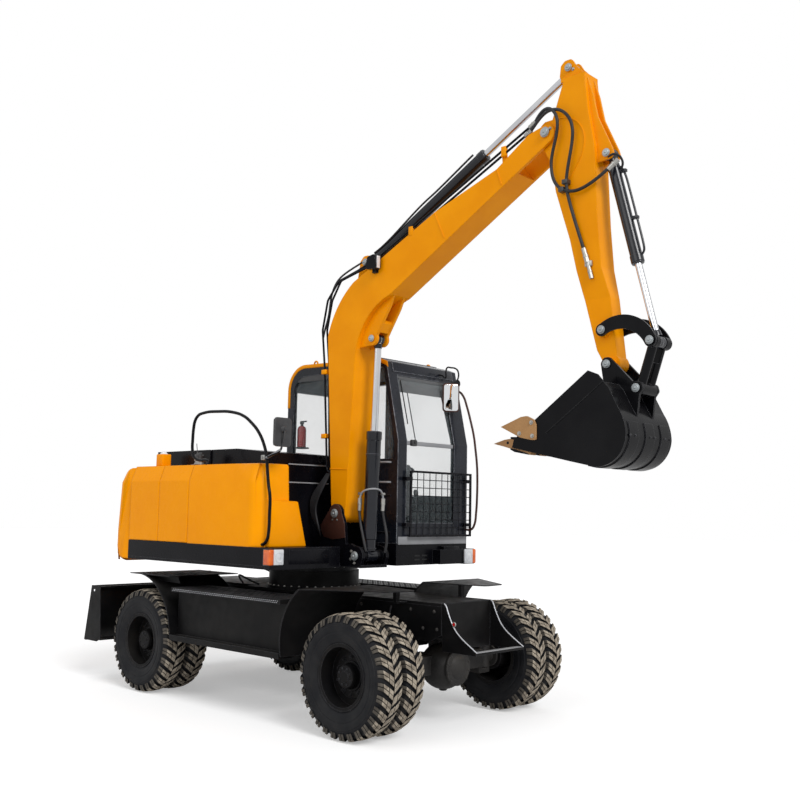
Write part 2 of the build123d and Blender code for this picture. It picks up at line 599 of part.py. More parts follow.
hood_pin = (HOOD_X[1] - HINGE_IN, HOOD_TOP - HINGE_IN)
TANK_X = (-640, 180)
TANK_Y = (-784, 100)
with BuildPart() as tank_box:
    plate(((TANK_X[0], FLOOR_TOP), (TANK_X[0], HOOD_TOP), (-245, HOOD_TOP), (TANK_X[1], HOOD_TOP - 40),
           (TANK_X[1], FLOOR_TOP)), TANK_Y)
    block((-248, -242), TANK_Y, (HOOD_TOP - 10, HOOD_TOP), mode=Mode.SUBTRACT)
    for y in HOOD_HINGES:
        block((hood_pin[0] - 12, TANK_X[0] + 5), (y - 8, y + 8), (hood_pin[1] - 12, HOOD_TOP))
        pin(hood_pin, HINGE_R, (y - 30, y + 30))
leave(tank_box, "tank_box")

HOOD_FOOT = CREASE + 6
HOOD_Y = (TOP_Y, BAND_Y - 10)
HOOD_SKIN = 30
with BuildPart() as engine_hood:
    block(HOOD_X, HOOD_Y, (HOOD_FOOT, HOOD_TOP))
    block((HOOD_X[0] + HOOD_SKIN, HOOD_X[1] - HOOD_SKIN - 10), (HOOD_Y[0] + HOOD_SKIN, HOOD_Y[1] - HOOD_SKIN),
          (HOOD_FOOT, HOOD_TOP - HOOD_SKIN), mode=Mode.SUBTRACT)
    fillet([e for e in engine_hood.edges().filter_by(Axis.Y)
            if e.center().X > SWING_X + HOOD_X[1] - 1 and e.center().Z > RIDE + HOOD_TOP - 1], HINGE_IN)
    for y in HOOD_HINGES:
        block((hood_pin[0] - 34, HOOD_X[1] + 1), (y - 14, y + 14), (hood_pin[1] - 30, HOOD_TOP + 1), mode=Mode.SUBTRACT)
        pin(hood_pin, HINGE_R + FIT, (y - 32, y + 32), mode=Mode.SUBTRACT)
leave(engine_hood, "engine_hood")

with BuildPart() as engine:
    block((-1350, -750), (-350, 450), (FLOOR_TOP, HOOD_TOP - 250))
leave(engine, "engine")

RAIL_LINE = -1100         # y of the hand rail
RAIL_R = 14
rail_route = (            # x, height over the flat orange top
    (618, SILL_Z - CREASE), (618, -290), (578, -148), (560, 23), (525, 146), (430, 273), (264, 394), (54, 475),
    (-423, 479), (-527, 411), (-541, 154), (-497, 73), (-409, 42), (-282, 42), (-282, 0),
)
with BuildPart() as hand_rail:
    tube([(x, RAIL_LINE + 20, CREASE + rise) for x, rise in rail_route], RAIL_R, 24)
    tube([(545, RAIL_LINE + 20, CREASE + 45), (640, RAIL_LINE, CREASE + 60), (740, RAIL_LINE + 20, CREASE + 110),
          (740, RAIL_LINE + 20, CREASE + 200)], 9, 20)
    section(((-1160, CREASE + 136), (-1160, CREASE + 376), (-980, CREASE + 376), (-980, CREASE + 136)), (732, 750),
            corners=((0, 25), (1, 25), (2, 25), (3, 25)))
leave(hand_rail, "hand_rail")

# Cab
CAB_FLOOR = SILL_Z + 30
CAB_REAR = -640
cab_outline = (
    (CAB_REAR, CAB_FLOOR), (CAB_REAR, 3211), (680, 3183), (770, 3150), (940, 2400), (940, CAB_FLOOR),
)
cab_inside = (
    (CAB_REAR + CAB_WALL, CAB_FLOOR), (CAB_REAR + CAB_WALL, 3166), (670, 3138), (735, 3115), (895, 2395),
    (895, CAB_FLOOR),
)
CAB_CORNER = 250
# Side windows: wall, (x, z) outline, radius of the rear top corner
RIGHT_WALL = (CAB_Y[0] - 1, CAB_Y[0] + CAB_WALL + 1)
LEFT_WALL = (CAB_Y[1] - CAB_WALL - 1, CAB_Y[1] + 1)
WINDOW_FOOT = 2230
SIDE_WINDOWS = (
    (RIGHT_WALL, ((-550, WINDOW_FOOT), (-550, 3092), (300, 3100), (300, WINDOW_FOOT)), 160),
    (RIGHT_WALL, ((370, WINDOW_FOOT), (370, 3100), (684, 3103), (735, 3090), (880, 2399), (880, WINDOW_FOOT)), 20),
    (LEFT_WALL, ((-550, WINDOW_FOOT), (-550, 3085), (-160, 3090), (-160, WINDOW_FOOT)), 160),
)
SCREEN_Y = (270, 950)
SCREEN_Z = (1640, 3025)
REAR_Y = (CAB_Y[0] + 80, CAB_Y[1] - 80)
REAR_Z = (2200, 2950)
PANE = 6
WHEEL_HUB = (430, 2100)   # steering wheel: hub (x, z), middle plane, radius
WHEEL_Y = 650
WHEEL_R = 185
with BuildPart() as cab_base:
    block((660, 940), CAB_Y, (FLOOR_Z + 10, SILL_Z))
    block((CAB_REAR, 940), CAB_Y, (SILL_Z, CAB_FLOOR))
    block((940, 1040), (650, CAB_LAMP[1][0]), (CAB_LAMP[2][0] + 5, CAB_LAMP[2][1] - 5))
    for low, high in ((230, 400), (920, 1080)):           # armrest consoles with their levers
        plate(((-300, CAB_FLOOR), (-300, 1980), (-180, 2020), (230, 2020), (260, 1990), (200, CAB_FLOOR)), (low, high),
              corners=((1, 40), (3, 25), (4, 20)))
        post((180, (low + high) / 2), 9, (2020, 2190))
        post((180, (low + high) / 2), 22, (2170, 2290))
    rod((600, CAB_FLOOR), WHEEL_HUB, WHEEL_Y, 45, 0, hypot(WHEEL_HUB[0] - 600, WHEEL_HUB[1] - CAB_FLOOR))
    hub = Plane(origin=(SWING_X + WHEEL_HUB[0], WHEEL_Y, RIDE + WHEEL_HUB[1]), z_dir=(-0.35, 0, 0.94))
    with Locations(hub):
        Torus(WHEEL_R, 13)
        for turn in (90, 210, 330):
            with Locations(Location((0, 0, 0), (0, 0, turn))):
                Box(WHEEL_R, 26, 10, align=(Align.MIN, Align.CENTER, Align.CENTER))
leave(cab_base, "cab_base")

with BuildPart() as cab_shell:
    plate(cab_outline, CAB_Y, corners=((1, CAB_CORNER),))
    plate(cab_inside, (CAB_Y[0] + CAB_WALL, CAB_Y[1] - CAB_WALL), mode=Mode.SUBTRACT,
          corners=((1, CAB_CORNER - CAB_WALL),))
    for wall, outline, radius in SIDE_WINDOWS:
        plate(outline, wall, mode=Mode.SUBTRACT, corners=((1, radius),))
    block((700, 1000), SCREEN_Y, SCREEN_Z, mode=Mode.SUBTRACT)
    block((CAB_REAR - 60, CAB_REAR + 140), REAR_Y, REAR_Z, mode=Mode.SUBTRACT)
    plate(DOOR_FRAME, LEFT_WALL, mode=Mode.SUBTRACT)
    post((DOOR_FRAME[0][0] + DOOR_GAP + HINGE_IN, CAB_Y[1] - HINGE_IN), HINGE_R,
         (DOOR_FRAME[0][1] - 5, DOOR_FRAME[0][1] + 40))
leave(cab_shell, "cab_shell")

# The windscreen's slope, x at a height
BEND_Z = 2400
LEAN = (915 - 760) / (3090 - BEND_Z)
screen_top = 915 - LEAN * (SCREEN_Z[1] - SEAT - BEND_Z)
with BuildPart() as cab_glass:
    for wall, outline, radius in SIDE_WINDOWS:
        middle = (wall[0] + wall[1]) / 2
        with BuildSketch(side(middle + PANE / 2)) as face:
            with BuildLine():
                Polyline(*outline, close=True)
            make_face()
            u, v = outline[1]
            fillet(min(face.vertices(), key=lambda p: hypot(p.X - u, p.Y - v)), radius)
            offset(amount=-SEAT, kind=Kind.INTERSECTION)
        extrude(to_extrude=face.sketch, amount=PANE)
    plate(((915, SCREEN_Z[0] + SEAT), (915 + PANE, SCREEN_Z[0] + SEAT), (915 + PANE, BEND_Z),
           (screen_top + PANE, SCREEN_Z[1] - SEAT), (screen_top, SCREEN_Z[1] - SEAT), (915, BEND_Z)),
          (SCREEN_Y[0] + SEAT, SCREEN_Y[1] - SEAT))
    block((CAB_REAR + 18, CAB_REAR + 18 + PANE), (REAR_Y[0] + SEAT, REAR_Y[1] - SEAT), (REAR_Z[0] + SEAT, REAR_Z[1] - SEAT))
leave(cab_glass, "cab_glass")

DOOR_WINDOW = ((-30, 1900), (-30, 3000), (590, 3015), (775, 2385), (775, 1900))
with BuildPart() as cab_door:
    with BuildSketch(side(CAB_Y[1])) as face:
        with BuildLine():
            Polyline(*DOOR_FRAME, close=True)
        make_face()
        offset(amount=-DOOR_GAP, kind=Kind.INTERSECTION)
    extrude(to_extrude=face.sketch, amount=CAB_WALL)
    fillet([e for e in cab_door.edges().filter_by(Axis.Z)
            if e.center().X < SWING_X + DOOR_FRAME[0][0] + DOOR_GAP + 1 and e.center().Y > CAB_Y[1] - 1], HINGE_IN)
    plate(DOOR_WINDOW, LEFT_WALL, mode=Mode.SUBTRACT)
    post((DOOR_FRAME[0][0] + DOOR_GAP + HINGE_IN, CAB_Y[1] - HINGE_IN), HINGE_R + FIT,
         (DOOR_FRAME[0][1], DOOR_FRAME[0][1] + 45), mode=Mode.SUBTRACT)
leave(cab_door, "cab_door")

with BuildPart() as door_glass:
    with BuildSketch(side((LEFT_WALL[0] + LEFT_WALL[1]) / 2 + PANE / 2)) as face:
        with BuildLine():
            Polyline(*DOOR_WINDOW, close=True)
        make_face()
        offset(amount=-SEAT, kind=Kind.INTERSECTION)
    extrude(to_extrude=face.sketch, amount=PANE)
leave(door_glass, "door_glass")

LIFTING_EYES = ((-330, 245), (500, 1040))     # x, y on the roof
EYE_RISE = 62
EYE_HOLE = 14
EYE_T = 14
with BuildPart() as lifting_eyes:
    for x, y in LIFTING_EYES:
        roof = 3211 - (x - CAB_REAR) * (3211 - 3183) / (680 - CAB_REAR)
        pin((x, roof + EYE_RISE - 34), 34, (y - EYE_T / 2, y + EYE_T / 2))
        block((x - 34, x + 34), (y - EYE_T / 2, y + EYE_T / 2), (roof - 10, roof + EYE_RISE - 34))
        block((x - 50, x + 50), (y - 25, y + 25), (roof - 10, roof + 8))
        pin((x, roof + EYE_RISE - 34), EYE_HOLE, (y - 30, y + 30), mode=Mode.SUBTRACT)
    plate(cab_outline, CAB_Y, mode=Mode.SUBTRACT, corners=((1, CAB_CORNER),))
leave(lifting_eyes, "lifting_eyes")

with BuildPart() as lamps:
    block(*DECK_LAMP)
    block(*CAB_LAMP)
leave(lamps, "lamps")

GUARD_Y = (285, 1150)
GUARD_Z = (1520, 2113)
GUARD_X = 985
GUARD_BAR = 4
with BuildPart() as screen_guard:
    for y in GUARD_Y:
        block((GUARD_X - 8, GUARD_X + 8), (y - 10, y + 10), (GUARD_Z[0] - 10, GUARD_Z[1] + 10))
    for z in GUARD_Z:
        block((GUARD_X - 8, GUARD_X + 8), GUARD_Y, (z - 10, z + 10))
    for k in range(1, 10):
        y = GUARD_Y[0] + k * (GUARD_Y[1] - GUARD_Y[0]) / 10
        post((GUARD_X + 2, y), GUARD_BAR, GUARD_Z)
    for k in range(1, 8):
        z = GUARD_Z[0] + k * (GUARD_Z[1] - GUARD_Z[0]) / 8
        pin((GUARD_X - 4, z), GUARD_BAR, GUARD_Y)
    for z in (GUARD_Z[0] + 85, GUARD_Z[1] - 85):          # hinges on the right pillar, stays on the left one
        block((940, GUARD_X + 12), (215, GUARD_Y[0] + 10), (z, z + 34))
        block((940, GUARD_X), (1090, 1106), (z, z + 34))
        block((GUARD_X - 4, GUARD_X + 4), (1090, GUARD_Y[1]), (z, z + 34))
leave(screen_guard, "screen_guard")

curved_rail = (
    (700, 2945), (895, 2945), (1001, 2657), (1070, 2360), (1097, 2062), (1085, 1740), (1050, 1575), (940, 1575),
)
with BuildPart() as cab_rails:
    tube([(x, CAB_Y[1] - 30, z) for x, z in curved_rail], 11, 60)
    tube(((700, 860, 3110), (892, 860, 3110), (892, 860, 3140), (892, 1050, 3140), (892, 1050, 2985)), 8, 14)
    section(((972, 2730), (972, 3005), (1128, 3005), (1128, 2730)), (884, 900),
            corners=((0, 24), (1, 24), (2, 24), (3, 24)))
    for z in (2010, 2195):                                # grab rails on the right panel
        tube(((-500, CAB_Y[0], z), (-500, CAB_Y[0] - 34, z), (-60, CAB_Y[0] - 34, z), (-60, CAB_Y[0], z)), 9, 20)
        tube(((700, CAB_Y[0], z), (700, CAB_Y[0] - 34, z), (850, CAB_Y[0] - 34, z), (850, CAB_Y[0], z)), 9, 20)
    plate(cab_outline, CAB_Y, mode=Mode.SUBTRACT, corners=((1, CAB_CORNER),))
leave(cab_rails, "cab_rails")

with BuildPart() as seat:
    block((-250, 250), (420, 900), (CAB_FLOOR, 1800))
    block((-250, 200), (420, 900), (1800, 1930))
    plate(((-250, 1930), (-380, 2650), (-270, 2650), (-130, 1930)), (440, 880))
leave(seat, "seat")

# Boom: its edge, (point on the arc or None, end of the stretch)
BOOM_START = (500, 1700)
boom_edge = (
    (None, (484, 1806)), (None, (382, 3368)), ((490, 3612), (710, 3841)), (None, (1706, 4314)), (None, (2373, 4542)),
    (None, (2689, 4752)), (None, (2850, 4792)), ((2938, 4722), (2890, 4645)), (None, (1185, 3663)),
    ((872, 3450), (754, 3173)), (None, (679, 1807)), (None, (665, 1700)), (None, BOOM_START),
)
FORK_IN = ARM_W / 2 + 8
FOOT_R = 84
PIPE_RUN = ((1030, 4036), (2700, 4822))       # upper steel pipe on the boom's right edge
PIPE_SLOPE = (PIPE_RUN[1][1] - PIPE_RUN[0][1]) / (PIPE_RUN[1][0] - PIPE_RUN[0][0])
PIPE_STEP = 42            # drop to the lower pipe
PIPE_Y = -236
PIPE_R = 10
PIPE_CLAMPS = (1420, 2440)
LIFT_EARS = (52, 80)      # from the boom's middle plane
with BuildPart() as boom:
    profile(BOOM_START, boom_edge, (BOOM_Y - BOOM_W / 2, BOOM_Y + BOOM_W / 2))
    pin(FOOT, FOOT_R, (BOOM_Y - BOOM_W / 2, BOOM_Y + BOOM_W / 2))
    for hand in (-1, 1):
        width = (BOOM_Y + hand * LIFT_EARS[0], BOOM_Y + hand * LIFT_EARS[1])
        plate(((740, 3225), (905, 3240), (981, 3331), (1132, 3565), (1176, 3661), (1176, 3720), (900, 3600)), width)
        pin(LIFT_ROD, 62, width)
        plate(((705, 3820), (745, 4040), (790, 4085), (850, 4085), (1010, 3950)),
              (BOOM_Y + hand * (CROWD_R + SIDE_GAP), BOOM_Y + hand * (CROWD_R + SIDE_GAP + 20)),
              corners=((2, 40), (3, 40)))
    plate(((990, 3350), (1040, 3430), (1030, 3462), (975, 3385)), (BOOM_Y - LIFT_EARS[1], BOOM_Y + LIFT_EARS[1]))
    for x in PIPE_CLAMPS:                                 # clamp posts beside the steel pipes
        foot = PIPE_RUN[0][1] + PIPE_SLOPE * (x - PIPE_RUN[0][0])
        plate(((x - 22, foot - 170), (x + 22, foot - 150), (x + 8, foot + 26), (x - 36, foot + 6)),
              (PIPE_Y + PIPE_R + 1, PIPE_Y + PIPE_R + 15))
    pin(ELBOW, FORK_R, (BOOM_Y - FORK_IN, BOOM_Y + FORK_IN), mode=Mode.SUBTRACT)
    pin(FOOT, PIN_R + FIT, (BOOM_Y - BOOM_W, BOOM_Y + BOOM_W), mode=Mode.SUBTRACT)
    pin(ELBOW, PIN_R, (BOOM_Y - BOOM_W / 2 - 12, BOOM_Y + BOOM_W / 2 + 12))
    pin(CROWD_BASE, SMALL_PIN_R, (BOOM_Y - CROWD_R - 38, BOOM_Y + CROWD_R + 38))
    pin(LIFT_ROD, ROD_PIN_R, (BOOM_Y + LIFT_EARS[0], BOOM_Y + LIFT_EARS[1] + 12))
    pin(LIFT_ROD, ROD_PIN_R, (BOOM_Y - LIFT_EARS[0], BOOM_Y - LIFT_EARS[1] - 12))
leave(boom, "boom")

with BuildPart() as boom_pipes:
    for drop, inset, end_x in ((0, 0, PIPE_RUN[1][0]), (PIPE_STEP, 30, PIPE_RUN[1][0] - 45)):
        end_z = PIPE_RUN[0][1] + PIPE_SLOPE * (end_x - PIPE_RUN[0][0]) - drop
        tube(((470, PIPE_Y + inset, 2080), (400, PIPE_Y + inset, 2100), (330 + inset, PIPE_Y + inset, 3100),
              (290 + inset, PIPE_Y + inset, 3440), (352 + inset, PIPE_Y + inset, 3720), (500 + inset, PIPE_Y, 3885),
              (760, PIPE_Y, 3950 - drop / 3), (PIPE_RUN[0][0], PIPE_Y, PIPE_RUN[0][1] - drop), (end_x, PIPE_Y, end_z)),
             PIPE_R, 60)
    profile(BOOM_START, boom_edge, (BOOM_Y - BOOM_W, BOOM_Y + BOOM_W), mode=Mode.SUBTRACT)
    plate(((945, 3915), (965, 4025), (1055, 4040), (1080, 3930), (1060, 3900)), (BOOM_Y - 210, BOOM_Y - 150),
          corners=((1, 20), (2, 20)))                     # work lamp and its arm
    block((985, 1035), (BOOM_Y - 160, BOOM_Y - BOOM_W / 2), (3880, 3960))
leave(boom_pipes, "boom_pipes")

# Cylinders: name, base pin, rod pin, barrel and rod radius, barrel end, base pin radius, half eye, neck, retraction
CYLINDERS = (
    ("lift", LIFT_BASE, LIFT_ROD, LIFT_R, 32, 1116, PIN_R, LIFT_R, 47, 390),
    ("crowd", CROWD_BASE, CROWD_ROD, CROWD_R, 30, 1526, SMALL_PIN_R, CROWD_R, 38, 491),
    ("curl", CURL_BASE, KNEE, CURL_R, 27, 908, SMALL_PIN_R, 32, 90, 501),
)
CYLINDER_FLOOR = 60
for name, base, end, barrel_r, rod_r, head, base_pin, eye, neck, stroke in CYLINDERS:
    span = hypot(end[0] - base[0], end[1] - base[1])
    with BuildPart() as barrel:
        rod(base, end, BOOM_Y, min(eye, barrel_r) - 8, base_pin + 10, neck + 5)
        rod(base, end, BOOM_Y, barrel_r, neck, head)
        pin(base, base_pin + 22, (BOOM_Y - eye, BOOM_Y + eye))
        pin(base, base_pin + FIT, (BOOM_Y - barrel_r - 1, BOOM_Y + barrel_r + 1), mode=Mode.SUBTRACT)
        rod(base, end, BOOM_Y, rod_r + FIT, neck + CYLINDER_FLOOR, head + 1, mode=Mode.SUBTRACT)
    leave(barrel, name + "_barrel")
    with BuildPart() as piston:
        rod(base, end, BOOM_Y, rod_r, neck + CYLINDER_FLOOR + stroke + 10, span - 20)
        pin(end, 45, (BOOM_Y - ROD_EYE, BOOM_Y + ROD_EYE))
        pin(end, ROD_PIN_R, (BOOM_Y - ROD_EYE - 1, BOOM_Y + ROD_EYE + 1), mode=Mode.SUBTRACT)
    leave(piston, name + "_rod")

# Arm
ARM_START = (2892, 4466)
arm_edge = (
    (None, (2790, 4650)), ((2760, 4745), (2830, 4832)), (None, (2897, 4832)), (None, (2999, 5117)), (None, (3190, 5130)),
    (None, (3219, 4839)), (None, (3276, 4534)), (None, (3303, 3918)), (None, (3330, 3582)), (None, (3391, 3350)),
    (None, (3444, 2900)), ((3392, 2788), (3340, 2845)), (None, (3276, 2959)), (None, (3162, 3390)),
    (None, (3058, 3833)), (None, (2928, 4243)), (None, ARM_START),
)
ARM_HALF = ARM_W / 2
NOSE_HALF = 66            # half width of the arm's lower end
NOSE_Z = (3350, 3580)     # height of the taper
CROWD_EARS = (44, 64)
CURL_EARS = (38, 58)
with BuildPart() as arm:
    profile(ARM_START, arm_edge, (BOOM_Y - ARM_HALF, BOOM_Y + ARM_HALF))
    section(((BOOM_Y - ARM_HALF, 5200), (BOOM_Y + ARM_HALF, 5200), (BOOM_Y + ARM_HALF, NOSE_Z[1]),
             (BOOM_Y + NOSE_HALF, NOSE_Z[0]), (BOOM_Y + NOSE_HALF, 2700), (BOOM_Y - NOSE_HALF, 2700),
             (BOOM_Y - NOSE_HALF, NOSE_Z[0]), (BOOM_Y - ARM_HALF, NOSE_Z[1])), (2600, 3700), mode=Mode.INTERSECT)
    block((2975, 3192), (BOOM_Y - ARM_HALF, BOOM_Y + ARM_HALF), (5112, 5143))
    for hand in (-1, 1):
        plate(((2985, 5090), (2944, 5180), (2955, 5266), (2990, 5299), (3055, 5299), (3091, 5238), (3163, 5162),
               (3163, 5100)), (BOOM_Y + hand * CROWD_EARS[0], BOOM_Y + hand * CROWD_EARS[1]), corners=((3, 25), (4, 30)))
        pin(CROWD_ROD, ROD_PIN_R, (BOOM_Y + hand * CROWD_EARS[0], BOOM_Y + hand * (CROWD_EARS[1] + 12)))
        plate(((3190, 5120), (3240, 4965), (3284, 4767), (3406, 4499), (3420, 4450), (3395, 4415), (3280, 4405),
               (3200, 4500)), (BOOM_Y + hand * CURL_EARS[0], BOOM_Y + hand * CURL_EARS[1]), corners=((4, 25), (5, 25)))
    plate(((2940, 5095), (2940, 5160), (3030, 5160), (2990, 5095)), (BOOM_Y - 38, BOOM_Y + 38), mode=Mode.SUBTRACT)
    for spot in (ROCKER, WRIST):
        pin(spot, 52, (BOOM_Y - ARM_HALF, BOOM_Y + ARM_HALF))
    pin(ELBOW, PIN_R + FIT, (BOOM_Y - ARM_W, BOOM_Y + ARM_W), mode=Mode.SUBTRACT)
    pin(WRIST, SMALL_PIN_R + FIT, (BOOM_Y - ARM_W, BOOM_Y + ARM_W), mode=Mode.SUBTRACT)
    pin(CURL_BASE, SMALL_PIN_R, (BOOM_Y - CURL_EARS[1] - 10, BOOM_Y + CURL_EARS[1] + 10))
    pin(ROCKER, SMALL_PIN_R, (BOOM_Y - 122, BOOM_Y + 122))
leave(arm, "arm")

with BuildPart() as rocker:
    for hand in (-1, 1):
        with BuildSketch(side(BOOM_Y + max(hand * 101, hand * 117))) as face:
            with BuildLine():
                ThreePointArc((3335, 3147), (3590, 3180), (3782, 3008))
                ThreePointArc((3782, 3008), (3768, 2942), (3702, 2956))
                ThreePointArc((3702, 2956), (3540, 3085), (3353, 3053))
                ThreePointArc((3353, 3053), (3297, 3091), (3335, 3147))
            make_face()
        extrude(to_extrude=face.sketch, amount=16)
        pin(ROCKER, SMALL_PIN_R + FIT, (BOOM_Y + hand * 100, BOOM_Y + hand * 118), mode=Mode.SUBTRACT)
        pin(KNEE, SMALL_PIN_R, (BOOM_Y + hand * 48, BOOM_Y + hand * 130))
leave(rocker, "rocker")

with BuildPart() as link:
    for spot in (KNEE, BUCKET_PIN):
        pin(spot, 50, (BOOM_Y - 94, BOOM_Y + 94))
    rod(KNEE, BUCKET_PIN, BOOM_Y - 60, 34, 0, hypot(KNEE[0] - BUCKET_PIN[0], KNEE[1] - BUCKET_PIN[1]))
    rod(KNEE, BUCKET_PIN, BOOM_Y + 60, 34, 0, hypot(KNEE[0] - BUCKET_PIN[0], KNEE[1] - BUCKET_PIN[1]))
    pin(KNEE, 150, (BOOM_Y - 47, BOOM_Y + 47), mode=Mode.SUBTRACT)
    pin(KNEE, SMALL_PIN_R + FIT, (BOOM_Y - 95, BOOM_Y + 95), mode=Mode.SUBTRACT)
leave(link, "link")

# Bucket: edge and hollow, (point on the arc or None, end of the stretch)
BUCKET_START = (3359, 2773)
bucket_edge = (
    (None, (2706, 2301)), (None, (2689, 2238)), (None, (3204, 2125)), (None, (3385, 2087)), ((3612, 2165), (3665, 2300)),
    ((3650, 2395), (3603, 2496)), (None, (3527, 2640)), (None, (3440, 2740)), (None, BUCKET_START),
)
HOLLOW_START = (3400, 2900)
bucket_hollow = (
    (None, (2600, 2340)), (None, (2689, 2254)), (None, (3204, 2141)), (None, (3385, 2103)), ((3596, 2178), (3645, 2300)),
    ((3631, 2388), (3586, 2488)), (None, (3512, 2628)), (None, HOLLOW_START),
)
half_bucket = BUCKET_W / 2
BUCKET_SIDE = 12
WEAR_T = 8
with BuildPart() as wear_bands:                           # welded round the heel, on the outside
    for y in (-half_bucket + 45, -60, half_bucket - 165):
        with BuildSketch(side(BOOM_Y + y + 120)) as face:
            with BuildLine():
                at = BUCKET_START
                for through, end in bucket_edge:
                    if through:
                        ThreePointArc(at, through, end)
                    else:
                        Line(at, end)
                    at = end
            make_face()
            offset(amount=WEAR_T)
        extrude(to_extrude=face.sketch, amount=120)
    block((3330, 3700), (BOOM_Y - half_bucket, BOOM_Y + half_bucket), (2050, 2400), mode=Mode.INTERSECT)
with BuildPart() as bucket:
    profile(BUCKET_START, bucket_edge, (BOOM_Y - half_bucket, BOOM_Y + half_bucket))
    add(wear_bands.part)
    profile(HOLLOW_START, bucket_hollow, (BOOM_Y - half_bucket + BUCKET_SIDE, BOOM_Y + half_bucket - BUCKET_SIDE),
            mode=Mode.SUBTRACT)
    for hand in (-1, 1):
        plate(((3480, 2560), (3360, 2720), (3340, 2850), (3365, 2890), (3415, 2890), (3445, 2860), (3600, 2700),
               (3670, 2690), (3685, 2640), (3655, 2600), (3632, 2420), (3590, 2490)),
              (BOOM_Y + hand * 101, BOOM_Y + hand * 121), corners=((2, 30), (3, 30), (4, 30), (7, 25), (8, 25)))
        pin(BUCKET_PIN, SMALL_PIN_R, (BOOM_Y + hand * 121, BOOM_Y + hand * 130))
    pin(WRIST, SMALL_PIN_R, (BOOM_Y - 130, BOOM_Y + 130))
leave(bucket, "bucket")

# Teeth on the lip and side cutters on the cheeks
TEETH = 5
TOOTH_W = 62
CUTTER_T = 14
with BuildPart() as bucket_teeth:
    for k in range(TEETH):
        y = BOOM_Y - half_bucket + 50 + k * (BUCKET_W - 100) / (TEETH - 1)
        plate(((2487, 2276), (2600, 2303), (2700, 2312), (2850, 2258), (2850, 2180), (2700, 2222), (2590, 2252)),
              (y - TOOTH_W / 2, y + TOOTH_W / 2))
        for hand in (-1, 1):                              # the point narrows in plan
            slab(((2480, y + hand * 16), (2480, y + hand * 60), (2640, y + hand * 60), (2640, y + hand * TOOTH_W / 2)),
                 (2200, 2330), mode=Mode.SUBTRACT)
    add(bucket.part, mode=Mode.SUBTRACT)
    for hand in (-1, 1):
        face_y = BOOM_Y + hand * half_bucket
        plate(((2591, 2399), (2779, 2466), (2835, 2471), (2899, 2441), (2917, 2400), (2917, 2288), (2872, 2290),
               (2771, 2312)), (face_y, face_y + hand * CUTTER_T), corners=((2, 30), (3, 30), (5, 12)))
leave(bucket_teeth, "bucket_teeth")
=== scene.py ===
"""Looks of a wheeled excavator: paint, glass, tread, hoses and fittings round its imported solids.

Places are in millimetres, with x counted from the slewing axis and z from the ground.
spot() turns them into places of the frame.
"""
from math import copysign, cos, pi, radians, sin

import bmesh
import bpy
from mathutils import Matrix, Vector


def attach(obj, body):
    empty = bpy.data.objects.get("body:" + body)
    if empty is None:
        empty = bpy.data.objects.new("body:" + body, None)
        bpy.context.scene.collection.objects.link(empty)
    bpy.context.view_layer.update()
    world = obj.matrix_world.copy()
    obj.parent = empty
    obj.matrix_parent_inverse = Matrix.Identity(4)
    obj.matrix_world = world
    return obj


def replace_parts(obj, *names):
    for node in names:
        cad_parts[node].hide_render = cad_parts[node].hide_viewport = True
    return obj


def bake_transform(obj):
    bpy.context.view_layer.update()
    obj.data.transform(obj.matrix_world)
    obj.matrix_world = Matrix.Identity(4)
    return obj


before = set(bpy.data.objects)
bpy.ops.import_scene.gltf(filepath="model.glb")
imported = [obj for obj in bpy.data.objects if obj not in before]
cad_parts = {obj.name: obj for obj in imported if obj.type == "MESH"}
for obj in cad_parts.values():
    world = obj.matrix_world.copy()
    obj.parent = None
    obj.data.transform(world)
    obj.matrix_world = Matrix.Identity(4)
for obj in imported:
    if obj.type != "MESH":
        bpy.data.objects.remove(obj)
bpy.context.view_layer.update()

SWING = -0.8           # slewing axis in the frame, metres
MM = 0.001
BOOM_Y = -120          # middle plane of boom, arm and bucket
CHASSIS = "chassis"
UPPER = "upper"
SIDES = (("left", 1), ("right", -1))

# Pins of the digging gear, (x, z)
FOOT = (583, 1715)
LIFT_BASE, LIFT_EYE = (856, 1344), (922, 3300)
CROWD_BASE, CROWD_EYE = (819, 4024), (3031, 5232)
CURL_BASE, KNEE = (3362, 4462), (3742, 2982)
ELBOW, ROCKER, WRIST, LINK_PIN = (2855, 4729), (3344, 3100), (3392, 2840), (3630, 2648)


def spot(x, y, z):
    """A place in the frame, in metres, from millimetres on the machine."""
    return Vector((SWING + x * MM, y * MM, z * MM))


# Materials

BANDS_PER_METRE = 0.3142                                  # the wave texture's scale for one band in a metre


def new_material(name):
    material = bpy.data.materials.new(name)
    material.use_nodes = True
    tree = material.node_tree
    return material, tree, tree.nodes["Principled BSDF"]


def add(tree, kind, **settings):
    node = tree.nodes.new("ShaderNode" + kind)
    for name, value in settings.items():
        setattr(node, name, value)
    return node


def noise(tree, scale, detail=3.0):
    """Noise over the piece's own coordinates, in metres."""
    place = add(tree, "TexCoord")
    texture = add(tree, "TexNoise")
    texture.inputs["Scale"].default_value = scale
    texture.inputs["Detail"].default_value = detail
    tree.links.new(place.outputs["Object"], texture.inputs["Vector"])
    return texture.outputs["Fac"]


def remap(tree, value, low, high, to_low=0.0, to_high=1.0):
    node = add(tree, "MapRange")
    for name, number in (("From Min", low), ("From Max", high), ("To Min", to_low), ("To Max", to_high)):
        node.inputs[name].default_value = number
    tree.links.new(value, node.inputs["Value"])
    return node.outputs["Result"]


def times(tree, a, b, operation="MULTIPLY"):
    node = add(tree, "Math", operation=operation, use_clamp=True)
    tree.links.new(a, node.inputs[0])
    if hasattr(b, "is_output"):
        tree.links.new(b, node.inputs[1])
    else:
        node.inputs[1].default_value = b
    return node.outputs[0]


